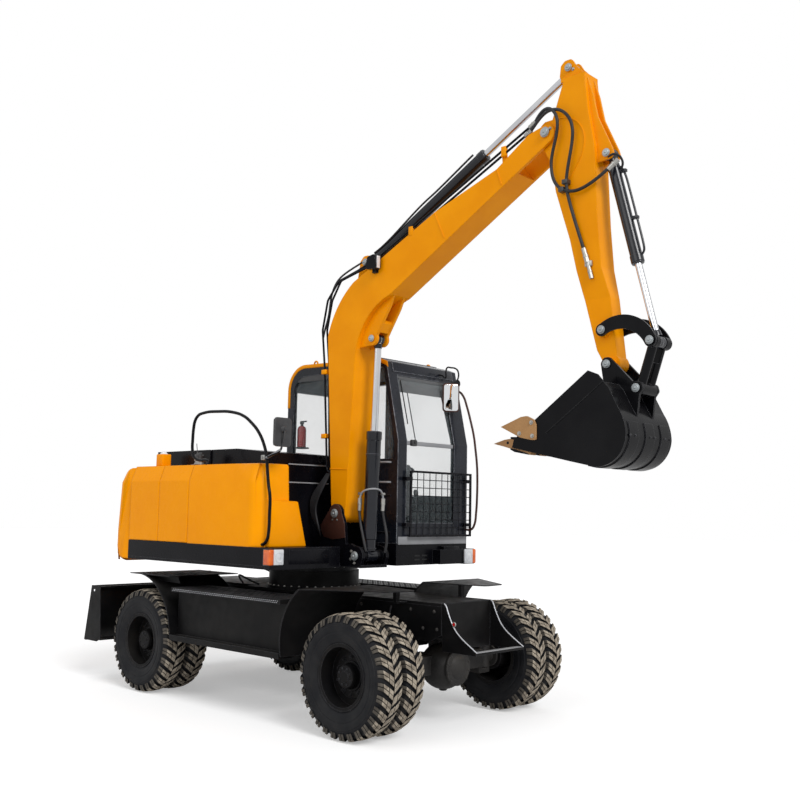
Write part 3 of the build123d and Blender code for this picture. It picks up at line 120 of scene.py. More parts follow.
def mixed(tree, factor, a, b):
    """Colour a where the factor is 0 and b where it is 1; either is a colour or another node's output."""
    node = add(tree, "Mix", data_type="RGBA")
    tree.links.new(factor, node.inputs[0])
    for value, socket in ((a, node.inputs[6]), (b, node.inputs[7])):
        if hasattr(value, "is_output"):
            tree.links.new(value, socket)
        else:
            socket.default_value = (*value, 1)
    return node.outputs[2]


def upward(tree):
    """1 where a face looks up, 0 where it stands or hangs."""
    coordinates = add(tree, "TexCoord")
    axes = add(tree, "SeparateXYZ")
    tree.links.new(coordinates.outputs["Normal"], axes.inputs[0])
    return remap(tree, axes.outputs["Z"], 0.35, 0.9)


def rounded(tree, radius):
    """Shading normal with softened edges, and a mask that is 1 along those edges."""
    bevel = add(tree, "Bevel", samples=4)
    bevel.inputs["Radius"].default_value = radius
    plain = add(tree, "NewGeometry")
    dot = add(tree, "VectorMath", operation="DOT_PRODUCT")
    tree.links.new(bevel.outputs[0], dot.inputs[0])
    tree.links.new(plain.outputs["Normal"], dot.inputs[1])
    return bevel.outputs[0], remap(tree, dot.outputs["Value"], 0.995, 0.86)


def bands(tree, direction, pitch):
    """Waves along an axis of the piece, a pitch apart in metres."""
    wave = add(tree, "TexWave", wave_type="BANDS", bands_direction=direction)
    wave.inputs["Scale"].default_value = BANDS_PER_METRE / pitch
    place = add(tree, "TexCoord")
    tree.links.new(place.outputs["Object"], wave.inputs["Vector"])
    return wave.outputs["Fac"]


def bump(tree, shader, height, distance, normal=None):
    node = add(tree, "Bump")
    node.inputs["Distance"].default_value = distance
    tree.links.new(height, node.inputs["Height"])
    if normal is not None:
        tree.links.new(normal, node.inputs["Normal"])
    tree.links.new(node.outputs[0], shader.inputs["Normal"])


def paint(name, colour, second, rough=(0.28, 0.4), metal=0.0, coat=0.0, grain=(60.0, 0.0004), dust=0.35, edge=None,
          soften=0.004, dust_colour=(0.30, 0.26, 0.20), gloss=0.3):
    """Painted or bare metal: two tones, dust on what looks up, lighter edges that are partly wear and partly a
    painted highlight, and a fine skin.
    """
    material, tree, shader = new_material(name)
    tone = remap(tree, noise(tree, 3.1, 4.0), 0.35, 0.68)
    base = mixed(tree, tone, colour, second)
    normal, edges = rounded(tree, soften) if soften else (None, None)
    if edge:
        # edge colour over the bevel mask: partly wear, partly a painted highlight along the edges
        wear_and_edge_highlight = times(tree, edges, remap(tree, noise(tree, 19.0, 4.0), 0.35, 0.6, 0.35, 1.0))
        base = mixed(tree, wear_and_edge_highlight, base, edge)
    if dust:
        settled = remap(tree, noise(tree, 6.5, 5.0), 0.36, 0.72, 0.25, 1.0)
        settled = times(tree, times(tree, upward(tree), settled), dust)
        base = mixed(tree, settled, base, dust_colour)
    tree.links.new(base, shader.inputs["Base Color"])
    tree.links.new(remap(tree, noise(tree, 11.0, 3.0), 0.3, 0.7, *rough), shader.inputs["Roughness"])
    shader.inputs["Metallic"].default_value = metal
    shader.inputs["Coat Weight"].default_value = coat
    shader.inputs["Coat Roughness"].default_value = 0.08
    shader.inputs["Specular IOR Level"].default_value = gloss
    bump(tree, shader, noise(tree, grain[0], 2.0), grain[1], normal)
    return material


def rubber(name, colour, second, rough=0.75, grain=180.0):
    material, tree, shader = new_material(name)
    tree.links.new(mixed(tree, remap(tree, noise(tree, 9.0, 4.0), 0.35, 0.7), colour, second),
                   shader.inputs["Base Color"])
    shader.inputs["Roughness"].default_value = rough
    shader.inputs["Specular IOR Level"].default_value = 0.35
    bump(tree, shader, noise(tree, grain, 2.0), 0.0004)
    return material


def tread_rubber():
    """Tyre rubber: blue-black walls, and pale dry mud on the block tops, where the piece's tread attribute is 1."""
    material, tree, shader = new_material("tyre_rubber")
    worn = add(tree, "Attribute", attribute_name="tread")
    wall = mixed(tree, remap(tree, noise(tree, 7.0, 5.0), 0.38, 0.7), (0.007, 0.0075, 0.0095), (0.017, 0.017, 0.018))
    top = mixed(tree, remap(tree, noise(tree, 23.0, 6.0), 0.36, 0.62), (0.40, 0.35, 0.28), (0.20, 0.17, 0.135))
    tree.links.new(mixed(tree, worn.outputs["Fac"], wall, top), shader.inputs["Base Color"])
    tree.links.new(remap(tree, worn.outputs["Fac"], 0.0, 1.0, 0.55, 0.88), shader.inputs["Roughness"])
    shader.inputs["Specular IOR Level"].default_value = 0.15
    bump(tree, shader, noise(tree, 120.0, 4.0), 0.0008)
    return material


def clear_glass(name, tint, alpha):
    material, tree, shader = new_material(name)
    film = remap(tree, noise(tree, 1.4, 3.0), 0.3, 0.75, alpha * 0.7, alpha * 1.25)
    shader.inputs["Base Color"].default_value = (*tint, 1)
    shader.inputs["Roughness"].default_value = 0.03
    shader.inputs["Coat Weight"].default_value = 0.6
    tree.links.new(film, shader.inputs["Alpha"])
    return material


def moulded(name, colour, second, rough=0.3, grain=90.0, ribs=0.0):
    """Plastic and lens mouldings; ribs is the pitch of a lens's prisms, in metres."""
    material, tree, shader = new_material(name)
    tree.links.new(mixed(tree, remap(tree, noise(tree, 14.0, 3.0), 0.35, 0.7), colour, second),
                   shader.inputs["Base Color"])
    shader.inputs["Roughness"].default_value = rough
    shader.inputs["Coat Weight"].default_value = 0.3
    if ribs:
        bump(tree, shader, bands(tree, "Z", ribs), 0.002)
    else:
        bump(tree, shader, noise(tree, grain, 2.0), 0.0003)
    return material


def cloth(name, colour, second, pitch=0.004):
    """Woven seat cloth with a fine weave and a soft sheen."""
    material, tree, shader = new_material(name)
    x, y, z = [bands(tree, direction, pitch) for direction in "XYZ"]
    weave = times(tree, times(tree, x, y, "ADD"), z)
    tone = times(tree, remap(tree, noise(tree, 8.0, 4.0), 0.3, 0.7), weave)
    tree.links.new(mixed(tree, tone, colour, second), shader.inputs["Base Color"])
    shader.inputs["Roughness"].default_value = 0.9
    shader.inputs["Sheen Weight"].default_value = 0.4
    bump(tree, shader, weave, 0.0006)
    return material


ORANGE = paint("orange_paint", (0.88, 0.30, 0.0), (0.92, 0.33, 0.0), (0.22, 0.34), coat=0.04,
               grain=(35.0, 0.00025), dust=0.03, soften=0.02, dust_colour=(0.80, 0.38, 0.08), gloss=0.06)
BOOM_ORANGE = paint("boom_orange", (0.85, 0.29, 0.0), (0.92, 0.335, 0.001), (0.28, 0.4), coat=0.04,
                    grain=(22.0, 0.0005), dust=0.06, soften=0.012, dust_colour=(0.72, 0.38, 0.10), gloss=0.07)
FRAME_BLACK = paint("frame_black", (0.003, 0.003, 0.0035), (0.0085, 0.008, 0.008), (0.32, 0.52), dust=0.25,
                    edge=(0.09, 0.09, 0.10), dust_colour=(0.10, 0.095, 0.09), gloss=0.12)
BODY_BLACK = paint("body_black", (0.002, 0.002, 0.0035), (0.005, 0.005, 0.007), (0.18, 0.36), coat=0.05, dust=0.12,
                   edge=(0.08, 0.08, 0.09), dust_colour=(0.10, 0.10, 0.10), gloss=0.10)
# the cab's pale edge colour is a painted highlight on its pillars and frame edges
CAB_PAINT = paint("cab_paint", (0.008, 0.010, 0.015), (0.016, 0.018, 0.026), (0.20, 0.32), metal=0.1, coat=0.2,
                  dust=0.2, edge=(0.34, 0.36, 0.40), soften=0.014, dust_colour=(0.16, 0.17, 0.19), gloss=0.2)
BUCKET_BLACK = paint("bucket_black", (0.002, 0.002, 0.003), (0.005, 0.005, 0.006), (0.16, 0.34), coat=0.08, dust=0.15,
                     edge=(0.12, 0.12, 0.13), dust_colour=(0.10, 0.095, 0.09), gloss=0.10)
CYLINDER_BLACK = paint("cylinder_black", (0.004, 0.005, 0.008), (0.009, 0.010, 0.015), (0.16, 0.28), coat=0.3,
                       dust=0.1, edge=(0.12, 0.12, 0.14), dust_colour=(0.14, 0.14, 0.14))
TOOTH_STEEL = paint("tooth_steel", (0.40, 0.215, 0.085), (0.27, 0.135, 0.055), (0.45, 0.7), grain=(45.0, 0.0015),
                    dust=0.3, edge=(0.62, 0.42, 0.24), dust_colour=(0.50, 0.33, 0.18))
PRIMER_BROWN = paint("primer_brown", (0.040, 0.014, 0.010), (0.060, 0.022, 0.015), (0.35, 0.5), dust=0.2,
                     edge=(0.16, 0.08, 0.06), dust_colour=(0.2, 0.16, 0.13))
CHROME = paint("chrome", (0.72, 0.73, 0.75), (0.62, 0.63, 0.66), (0.10, 0.20), metal=1.0, dust=0.0,
               grain=(300.0, 0.00001), soften=0)
ZINC = paint("zinc", (0.46, 0.45, 0.42), (0.30, 0.30, 0.29), (0.28, 0.45), metal=0.8, dust=0.0, soften=0.0015)
PIN_STEEL = paint("pin_steel", (0.42, 0.46, 0.47), (0.30, 0.32, 0.33), (0.35, 0.5), metal=0.6, dust=0.0, soften=0.002)
PALE_STEEL = paint("pale_steel", (0.24, 0.245, 0.26), (0.33, 0.335, 0.35), (0.35, 0.5), dust=0.2,
                   edge=(0.5, 0.5, 0.52))
EDGE_STEEL = paint("edge_steel", (0.42, 0.43, 0.46), (0.60, 0.61, 0.64), (0.3, 0.45), metal=0.4, dust=0.1)
CAST_IRON = paint("cast_iron", (0.014, 0.0135, 0.014), (0.032, 0.029, 0.026), (0.5, 0.75), grain=(70.0, 0.0016),
                  dust=0.5, edge=(0.10, 0.095, 0.09), dust_colour=(0.16, 0.14, 0.115))
RIM_BLACK = paint("rim_black", (0.005, 0.005, 0.006), (0.012, 0.011, 0.010), (0.35, 0.55), dust=0.1,
                  edge=(0.08, 0.08, 0.09), dust_colour=(0.05, 0.048, 0.045), gloss=0.10)
ENGINE_GREY = paint("engine_grey", (0.05, 0.052, 0.055), (0.09, 0.088, 0.085), (0.5, 0.7), grain=(40.0, 0.002),
                    dust=0.4)
TYRE = tread_rubber()
HOSE = rubber("hose_rubber", (0.012, 0.012, 0.014), (0.026, 0.026, 0.028), 0.5, 260.0)
SEAL = rubber("seal_rubber", (0.010, 0.010, 0.011), (0.018, 0.018, 0.019), 0.6)
MAT_RUBBER = rubber("trim_rubber", (0.030, 0.031, 0.033), (0.048, 0.048, 0.050), 0.8)
GLASS = clear_glass("cab_glass", (0.30, 0.36, 0.38), 0.10)
MIRROR = paint("mirror_glass", (0.82, 0.84, 0.86), (0.86, 0.88, 0.90), (0.02, 0.05), metal=1.0, dust=0.0,
               grain=(20.0, 0.00001), soften=0.001)
LENS = moulded("lamp_lens", (0.80, 0.82, 0.84), (0.62, 0.64, 0.68), 0.08, ribs=0.009)
AMBER = moulded("amber_lens", (0.90, 0.17, 0.012), (0.72, 0.10, 0.008), 0.12, ribs=0.007)
RED = moulded("red_plastic", (0.55, 0.012, 0.012), (0.42, 0.01, 0.01), 0.25)
BLACK_PLASTIC = moulded("black_plastic", (0.018, 0.018, 0.020), (0.030, 0.030, 0.032), 0.45)
SEAT_CLOTH = cloth("seat_cloth", (0.055, 0.062, 0.068), (0.105, 0.115, 0.12))
BLIND_CLOTH = cloth("blind_cloth", (0.10, 0.105, 0.11), (0.16, 0.165, 0.17), 0.006)

CORNERS = ("front_left", "front_right", "rear_left", "rear_right")
PAINTED = {
    ORANGE: ("counterweight", "side_door_rear", "side_door_front", "tank_cover", "hood_left", "lifting_eyes"),
    BOOM_ORANGE: ("boom", "arm"),
    BODY_BLACK: ("skirts", "tank_box", "engine_hood", "hand_rail", "cab_base", "screen_guard", "cab_rails",
                 "boom_pipes", "upper_frame"),
    CAB_PAINT: ("cab_shell", "cab_door"),
    FRAME_BLACK: ("chassis_rails", "cross_members", "chassis_deck", "side_steps", "mudguards", "front_ladder",
                  "blade", "blade_link_lower", "blade_link_upper", "slewing_ring"),
    CYLINDER_BLACK: ("lift_barrel", "crowd_barrel", "curl_barrel", "blade_cylinder"),
    CHROME: ("lift_rod", "crowd_rod", "curl_rod", "blade_rod"),
    BUCKET_BLACK: ("bucket", "rocker", "link"),
    TOOTH_STEEL: ("bucket_teeth",),
    CAST_IRON: ("front_axle", "rear_axle", "knuckle_left", "knuckle_right", "drive_shaft", "tie_rod"),
    ENGINE_GREY: ("engine",),
    GLASS: ("cab_glass", "door_glass"),
    RIM_BLACK: ["rim_" + corner for corner in CORNERS],
    LENS: ("lamps",),
    SEAT_CLOTH: ("seat",),
    TYRE: ["tyres_" + corner for corner in CORNERS],
}
for material, names in PAINTED.items():
    for name in names:
        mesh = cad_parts[name].data
        mesh.materials.clear()
        mesh.materials.append(material)


# Making pieces

def keep(bm, name, body, material, angle=32):
    """Turns a finished bmesh into a piece that rides on a body."""
    bmesh.ops.recalc_face_normals(bm, faces=bm.faces)
    mesh = bpy.data.meshes.new(name)
    bm.to_mesh(mesh)
    bm.free()
    return keep_mesh(mesh, name, body, material, angle)


def keep_mesh(mesh, name, body, material, angle=32):
    """Turns a mesh into a piece; with no body named, it rides on nothing unless the caller attaches it."""
    piece = bpy.data.objects.new(name, mesh)
    bpy.context.scene.collection.objects.link(piece)
    mesh.materials.append(material)
    for face in mesh.polygons:
        face.use_smooth = True
    mesh.set_sharp_from_angle(angle=radians(angle))
    if body:
        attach(piece, body)
    return piece


def block(bm, x, y, z):
    """A box from its (low, high) extents."""
    centre = spot((x[0] + x[1]) / 2, (y[0] + y[1]) / 2, (z[0] + z[1]) / 2)
    size = Matrix.Diagonal(((x[1] - x[0]) * MM, abs(y[1] - y[0]) * MM, (z[1] - z[0]) * MM, 1))
    return bmesh.ops.create_cube(bm, size=1, matrix=Matrix.Translation(centre) @ size)["verts"]


def soft_block(bm, x, y, z, radius=4, segments=2):
    """A box with rounded edges."""
    verts = block(bm, x, y, z)
    edges = list({e for v in verts for e in v.link_edges})
    bmesh.ops.bevel(bm, geom=edges, offset=radius * MM, segments=segments, profile=0.5, affect="EDGES", material=-1)


def plate(bm, outline, y, bevel=0):
    """A plate with an (x, z) outline between two y values."""
    verts = [bm.verts.new(spot(x, y[0], z)) for x, z in outline]
    push_out(bm, verts, Vector((0, (y[1] - y[0]) * MM, 0)), bevel)


def slab(bm, outline, z, bevel=0):
    """A level plate with an (x, y) outline between two z values."""
    verts = [bm.verts.new(spot(x, y, z[0])) for x, y in outline]
    push_out(bm, verts, Vector((0, 0, (z[1] - z[0]) * MM)), bevel)


def section(bm, outline, x, bevel=0):
    """A plate with a (y, z) outline between two x values."""
    verts = [bm.verts.new(spot(x[0], y, z)) for y, z in outline]
    push_out(bm, verts, Vector(((x[1] - x[0]) * MM, 0, 0)), bevel)


def raise_faces(bm, faces, depth):
    """Extrudes faces by a vector and returns the moved corners."""
    grown = bmesh.ops.extrude_face_region(bm, geom=faces)["geom"]
    moved = [g for g in grown if isinstance(g, bmesh.types.BMVert)]
    bmesh.ops.translate(bm, verts=moved, vec=depth)
    return moved


def push_out(bm, verts, depth, bevel):
    moved = raise_faces(bm, [bm.faces.new(verts)], depth)
    if bevel:
        edges = list({e for v in verts + moved for e in v.link_edges})
        bmesh.ops.bevel(bm, geom=edges, offset=bevel * MM, segments=2, profile=0.5, affect="EDGES", material=-1)


def corner_arc(centre, radius, start, end, steps=6):
    """Points round a corner, from one angle to the other in degrees."""
    return [(centre[0] + radius * cos(radians(start + (end - start) * k / steps)),
             centre[1] + radius * sin(radians(start + (end - start) * k / steps))) for k in range(steps + 1)]


def circle(centre, radius, count, first=0):
    """Points spaced evenly round a circle, the first at an angle in degrees."""
    return corner_arc(centre, radius, first, first + 360, count)[:-1]


def rounded_box(across, upright, radius):
    """The outline of a box with round corners."""
    left, right, low, high = across[0] + radius, across[1] - radius, upright[0] + radius, upright[1] - radius
    corners = ((right, low, 270), (right, high, 0), (left, high, 90), (left, low, 180))
    return [place for u, v, start in corners for place in corner_arc((u, v), radius, start, start + 90, 5)]


def turned(axis):
    """Rotation that lays a cone's z axis along another one."""
    return Vector((0, 0, 1)).rotation_difference(Vector(axis)).to_matrix().to_4x4()


def round_bar(bm, start, end, radius, end_radius=None, sides=24):
    """A round bar or cone between two places in millimetres."""
    a, b = spot(*start), spot(*end)
    place = Matrix.Translation((a + b) / 2) @ turned(b - a)
    bmesh.ops.create_cone(bm, cap_ends=True, segments=sides, radius1=radius * MM,
                          radius2=(radius if end_radius is None else end_radius) * MM, depth=(b - a).length,
                          matrix=place)


def lathe(bm, centre, axis, profile, steps=48):
    """A turned piece: (distance along the axis, radius) rows spun about the axis through a place in millimetres."""
    place = Matrix.Translation(spot(*centre)) @ turned(axis)
    verts = [bm.verts.new(place @ Vector((r * MM, 0, d * MM))) for d, r in profile]
    edges = [bm.edges.new(pair) for pair in zip(verts, verts[1:])]
    bmesh.ops.spin(bm, geom=verts + edges, cent=spot(*centre), axis=Vector(axis).normalized(), dvec=(0, 0, 0),
                   angle=2 * pi, steps=steps, use_merge=True)
    bmesh.ops.remove_doubles(bm, verts=bm.verts, dist=0.00002)


def bolt(bm, at, axis, size=9, stud=0.0):
    """A washer, a hexagon head and the end of its stud; size is half the width over flats."""
    at, axis = Vector(at), Vector(axis).normalized()
    for radius, low, high, sides in ((size * 1.55, 0, size * 0.25, 14), (size * 1.12, size * 0.25, size * 1.1, 6),
                                     (size * 0.6, size * 1.1, size * (1.25 + stud), 10)):
        round_bar(bm, at + axis * low, at + axis * high, radius, radius * (0.92 if sides == 6 else 1), sides)


def build(name, body, material, *steps, angle=32):
    """A piece made in steps on one bmesh, each a function and the values it takes after the bmesh."""
    bm = bmesh.new()
    for step, *values in steps:
        step(bm, *values)
    return keep(bm, name, body, material, angle)


def bolts(name, body, places, axis, size=9, material=ZINC, stud=0.0):
    return build(name, body, material, *((bolt, at, axis, size, stud) for at in places))


def bent_tube(bm, points, radius, sides=4):
    """A steel tube bent smoothly through its points, in millimetres."""
    curve = bpy.data.curves.new("tube_line", "CURVE")
    curve.dimensions = "3D"
    line = curve.splines.new("BEZIER")
    line.bezier_points.add(len(points) - 1)
    for point, place in zip(line.bezier_points, points):
        point.co = spot(*place)
        point.handle_left_type = point.handle_right_type = "AUTO"
    line.resolution_u = 10
    bm.from_mesh(line_mesh(curve, radius, sides))


def hose_mesh(name, points, radius, sides=3):
    """A hose on one smooth NURBS line through its control points, in millimetres, made a mesh."""
    curve = bpy.data.curves.new(name + "_line", "CURVE")
    curve.dimensions = "3D"
    line = curve.splines.new("NURBS")
    line.points.add(len(points) - 1)
    for point, place in zip(line.points, points):
        point.co = (*spot(*place), 1)
    line.order_u = 4 if len(points) > 3 else 3
    line.use_endpoint_u = True
    line.resolution_u = 6
    return line_mesh(curve, radius, sides)


def line_mesh(curve, radius, sides):
    """The mesh of a curve given a round section and closed ends."""
    curve.bevel_depth = radius * MM
    curve.bevel_resolution = sides
    curve.use_fill_caps = True
    holder = bpy.data.objects.new(curve.name, curve)
    bpy.context.scene.collection.objects.link(holder)
    mesh = bpy.data.meshes.new_from_object(holder.evaluated_get(bpy.context.evaluated_depsgraph_get()))
    bpy.data.objects.remove(holder)
    mesh.materials.clear()
    return mesh


def hose(name, points, radius, body, material=HOSE):
    return keep_mesh(hose_mesh(name, points, radius), name, body, material, 40)


def ferrule(bm, start, end, radius):
    """A crimped hose end: a sleeve with a collar and a nut."""
    a, b = Vector(start), Vector(end)
    aim = (b - a).normalized()
    length = (b - a).length
    round_bar(bm, a, a + aim * length * 0.55, radius * 1.35, sides=16)
    round_bar(bm, a + aim * length * 0.5, a + aim * length * 0.62, radius * 1.6, sides=16)
    round_bar(bm, a + aim * length * 0.62, b, radius * 1.5, sides=6)


# Twin wheels

AXLES = {"front": 1600, "rear": -1180}
AXLE_Z = 480
TYRE_R = 480
TWIN_Y = 921.5         # middle between the two tyres of a pair
TYRE_SHIFT = 123       # half the distance between the two tyres of a pair
PITCHES = 30           # lug pairs round a tyre
LUG_ANGLE = 2 * pi / PITCHES
LUG_DEPTH = 21
LUG_FOOT = 3           # a lug reaches this far into the carcass
DUSTY_DEPTH = 2.5      # faces less deep than this are a lug's top
SHOULDER = 112         # dust thins out past this distance from the middle
# distance from the middle along the tread, half width and radius over the lugs, and of the carcass under them
TREAD = (
    (0, 0, 480, 0, 459), (60, 60, 477, 58, 457), (99, 98, 466, 87, 448), (127, 107.5, 440, 99, 429),
    (154, 114.5, 413, 108, 408),
)
WALL = (
    (0, 459), (58, 457), (87, 448), (99, 429), (108, 408), (112.5, 399), (113, 392), (117.3, 389), (117.5, 366),
    (117.2, 346), (114, 341), (113.6, 333), (115.6, 329), (112, 312), (107, 294), (102, 279), (97, 271), (96, 263),
    (88, 257), (85, 250), (85, 239),
)


def on_tread(along, depth):
    """Half width and radius at a distance along the tread and a depth under the lugs' tops."""
    for (u0, *low), (u1, *high) in zip(TREAD, TREAD[1:]):
        if along <= u1 or u1 == TREAD[-1][0]:
            share = (along - u0) / (u1 - u0)
            w_top, r_top, w_base, r_base = [a + share * (b - a) for a, b in zip(low, high)]
            down = depth / LUG_DEPTH
            return w_top + down * (w_base - w_top), r_top + down * (r_base - r_top)


def lug(bm, outline, hand, start):
    """One tread block: an outline in (distance from the middle, distance round the tyre), wrapped on the carcass."""
    raw = bmesh.new()
    verts = [raw.verts.new((u, s, 0)) for u, s in outline]
    face = raw.faces.new(verts)
    raise_faces(raw, [face], (0, 0, -LUG_DEPTH - LUG_FOOT))
    top = [e for e in raw.edges if e.verts[0].co.z > -1 and e.verts[1].co.z > -1]
    bmesh.ops.bevel(raw, geom=top, offset=2.2, segments=1, profile=0.5, affect="EDGES", material=-1)
    for station in TREAD[1:-1]:
        bmesh.ops.bisect_plane(raw, geom=raw.verts[:] + raw.edges[:] + raw.faces[:], plane_co=(station[0], 0, 0),
                               plane_no=(1, 0, 0))
    layer = raw.faces.layers.float.new("tread")
    for face in raw.faces:
        centre = face.calc_center_median()
        if centre.z > -DUSTY_DEPTH:
            face[layer] = 1.0 if centre.x < SHOULDER else 0.25
    for vert in raw.verts:
        half, radius = on_tread(vert.co.x, -vert.co.z)
        turn = start + vert.co.y / TYRE_R
        vert.co = (radius * cos(turn) * MM, hand * half * MM, radius * sin(turn) * MM)
    mesh = bpy.data.meshes.new("lug")
    raw.to_mesh(mesh)
    raw.free()
    bm.from_mesh(mesh)
    bpy.data.meshes.remove(mesh)


def tyre_mesh():
    """One tyre about the y axis: a lathed carcass with ribbed walls and a directional V of lugs."""
    bm = bmesh.new()
    bm.faces.layers.float.new("tread")
    for hand, shift in ((1, 0.0), (-1, LUG_ANGLE / 2)):
        for low, high in ((0, 31), (34, 66)):            # a sipe parts each block
            lug(bm, ((4, low), (47, low + 32), (47, high + 32), (4, high)), hand, shift)
        for low, high in ((38, 68), (71, 101)):
            lug(bm, ((53, low), (99, low + 33), (127, low + 38), (151, low + 40), (151, high + 36), (127, high + 34),
                     (99, high + 29), (53, high - 2)), hand, shift)
    bmesh.ops.spin(bm, geom=bm.verts[:] + bm.edges[:] + bm.faces[:], cent=(0, 0, 0), axis=(0, 1, 0), dvec=(0, 0, 0),
                   angle=LUG_ANGLE * (PITCHES - 1), steps=PITCHES - 1, use_duplicate=True)
    ring = [(w, r) for w, r in WALL] + [(-w, r) for w, r in reversed(WALL[1:])]
    verts = [bm.verts.new((r * MM, w * MM, 0)) for w, r in ring]
    edges = [bm.edges.new(pair) for pair in zip(verts, verts[1:] + verts[:1])]
    bmesh.ops.spin(bm, geom=verts + edges, cent=(0, 0, 0), axis=(0, 1, 0), dvec=(0, 0, 0), angle=2 * pi, steps=84,
                   use_merge=True)
    bmesh.ops.recalc_face_normals(bm, faces=bm.faces)
    mesh = bpy.data.meshes.new("tyre")
    bm.to_mesh(mesh)
    bm.free()
    return mesh


HUB_RINGS = (          # (distance out from the middle of the machine, radius) rows, and steps round
    (((1131, 255), (1137, 259), (1142, 257), (1143, 251), (1139, 246), (1131, 247)), 72),
    (((1010, 172), (1017, 172), (1021, 168), (1021, 118), (1034, 112), (1034, 100)), 64),
    (((1066, 90), (1072, 92), (1094, 84), (1098, 78), (1098, 46), (1104, 42), (1104, 0)), 48),
)


one_tyre = tyre_mesh()
for end, axle_x in AXLES.items():
    for side, hand in SIDES:
        corner = end + "_" + side
        body = "wheel_" + corner
        bm = bmesh.new()
        for shift in (-TYRE_SHIFT, TYRE_SHIFT):
            before = set(bm.verts)
            bm.from_mesh(one_tyre)
            fresh = [v for v in bm.verts if v not in before]
            bmesh.ops.rotate(bm, verts=fresh, cent=(0, 0, 0), matrix=Matrix.Rotation(0.02 * shift + axle_x, 3, "Y"))
            bmesh.ops.translate(bm, verts=fresh, vec=spot(axle_x, hand * TWIN_Y + shift, AXLE_Z))
        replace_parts(keep(bm, "tread_" + corner, body, TYRE, 38), "tyres_" + corner)

        out = (0, hand, 0)
        bm = bmesh.new()                                  # lock ring, clamp ring and valve
        for profile, steps in HUB_RINGS:
            lathe(bm, (axle_x, 0, AXLE_Z), out, profile, steps)
        round_bar(bm, (axle_x + 130, hand * 1008, AXLE_Z - 160), (axle_x + 150, hand * 1058, AXLE_Z - 172), 5, 4, 10)
        keep(bm, "hub_rings_" + corner, body, RIM_BLACK, 30)
        nuts = [(x, hand * 1021, z) for x, z in circle((axle_x, AXLE_Z), 145, 10, 18)]
        bolts("wheel_nuts_" + corner, body, nuts, out, 13, RIM_BLACK, 0.7)
        heads = [(x, hand * 1098, z) for x, z in circle((axle_x, AXLE_Z), 64, 8, 22.5)]
        bolts("hub_bolts_" + corner, body, heads, out, 6, RIM_BLACK)


# Chassis

STEP_X = (-680, 870)   # the step boxes along the sides
STEP_TOP = 1010


def chequer(name, body, x, y, z, pitch=38, material=FRAME_BLACK):
    """Raised bars in turns of 45 degrees on a level plate."""
    bm = bmesh.new()
    for i in range(int((x[1] - x[0]) / pitch)):
        for j in range(int((y[1] - y[0]) / pitch)):
            place = Matrix.Translation(spot(x[0] + (i + 0.5) * pitch, y[0] + (j + 0.5) * pitch, z + 0.8))
            turn = Matrix.Rotation(radians(45 if (i + j) % 2 else -45), 4, "Z")
            size = Matrix.Diagonal((0.40, 0.15, 1, 1))
            bmesh.ops.create_cone(bm, cap_ends=True, segments=4, radius1=pitch * MM, radius2=pitch * 0.75 * MM,
                                  depth=2.6 * MM, matrix=place @ turn @ size @ Matrix.Rotation(radians(45), 4, "Z"))
    return keep(bm, name, body, material, 20)


for side, hand in SIDES:
    across = sorted((hand * 724, hand * 1146))
    chequer("step_chequer_" + side, CHASSIS, STEP_X, across, STEP_TOP)
    chequer("fender_chequer_" + side, CHASSIS, (-1380, -745), across, 1107)

bolts("ring_bolts", CHASSIS, [(x, y, 1035) for x, y in circle((0, 0), 438, 36)], (0, 0, 1), 8)
bolts("ring_upper_bolts", UPPER, [(x, y, 1222) for x, y in circle((0, 0), 415, 24)], (0, 0, -1), 8)

bm = bmesh.new()                                          # bright edges of the front step's cheeks
for hand in (-1, 1):
    edge = ((1912, 1008), (1930, 1004), (1950, 945), (1975, 895), (2010, 830), (2070, 765), (2150, 715), (2252, 655))
    bm.from_mesh(hose_mesh("cheek_edge", [(x + 2, hand * 304, z) for x, z in edge], 5.5, 2))
keep(bm, "ladder_edges", CHASSIS, EDGE_STEEL, 60)
chequer("ladder_tread", CHASSIS, (2197, 2249), (-296, 296), 652, 13, PALE_STEEL)
build("ladder_tread_plate", CHASSIS, PALE_STEEL, (soft_block, (2195, 2250), (-298, 298), (651, 654), 1))
build("ladder_marker", CHASSIS, RED, (round_bar, (2024, -308, 855), (2024, -315, 855), 15, 13, 20))
build("ladder_marker_rim", CHASSIS, ZINC,
      (lathe, (2024, -308, 855), (0, -1, 0), ((0, 20), (4, 20), (7, 17), (7, 14), (0, 14)), 24))

RAIL_BOLTS = {940: (1820, 1560, 980, 700, 420, -300, -640, -1000, -1360), 800: (1850, 1700, 1480, 1240)}
bm = bmesh.new()
for hand in (-1, 1):
    for z, row in RAIL_BOLTS.items():
        for x in row:
            bolt(bm, (x, hand * 320, z), (0, hand, 0), 10)
keep(bm, "rail_bolts", CHASSIS, CAST_IRON)

flat = Matrix.Rotation(radians(90), 4, "X") @ Matrix.Diagonal((1, 0.6, 1, 1))
bm = bmesh.new()                                          # chequered outer edges of the step boxes' plates
for hand in (-1, 1):
    for k in range(58):
        for z, shift in ((983, 26), (996, 39)):
            place = Matrix.Translation(spot(STEP_X[0] + 26 * k + shift, hand * 1152.5, z))
            bmesh.ops.create_cone(bm, cap_ends=True, segments=4, radius1=8 * MM, radius2=6 * MM, depth=3 * MM,
                                  matrix=place @ flat)
keep(bm, "step_edge_chequer", CHASSIS, EDGE_STEEL, 20)

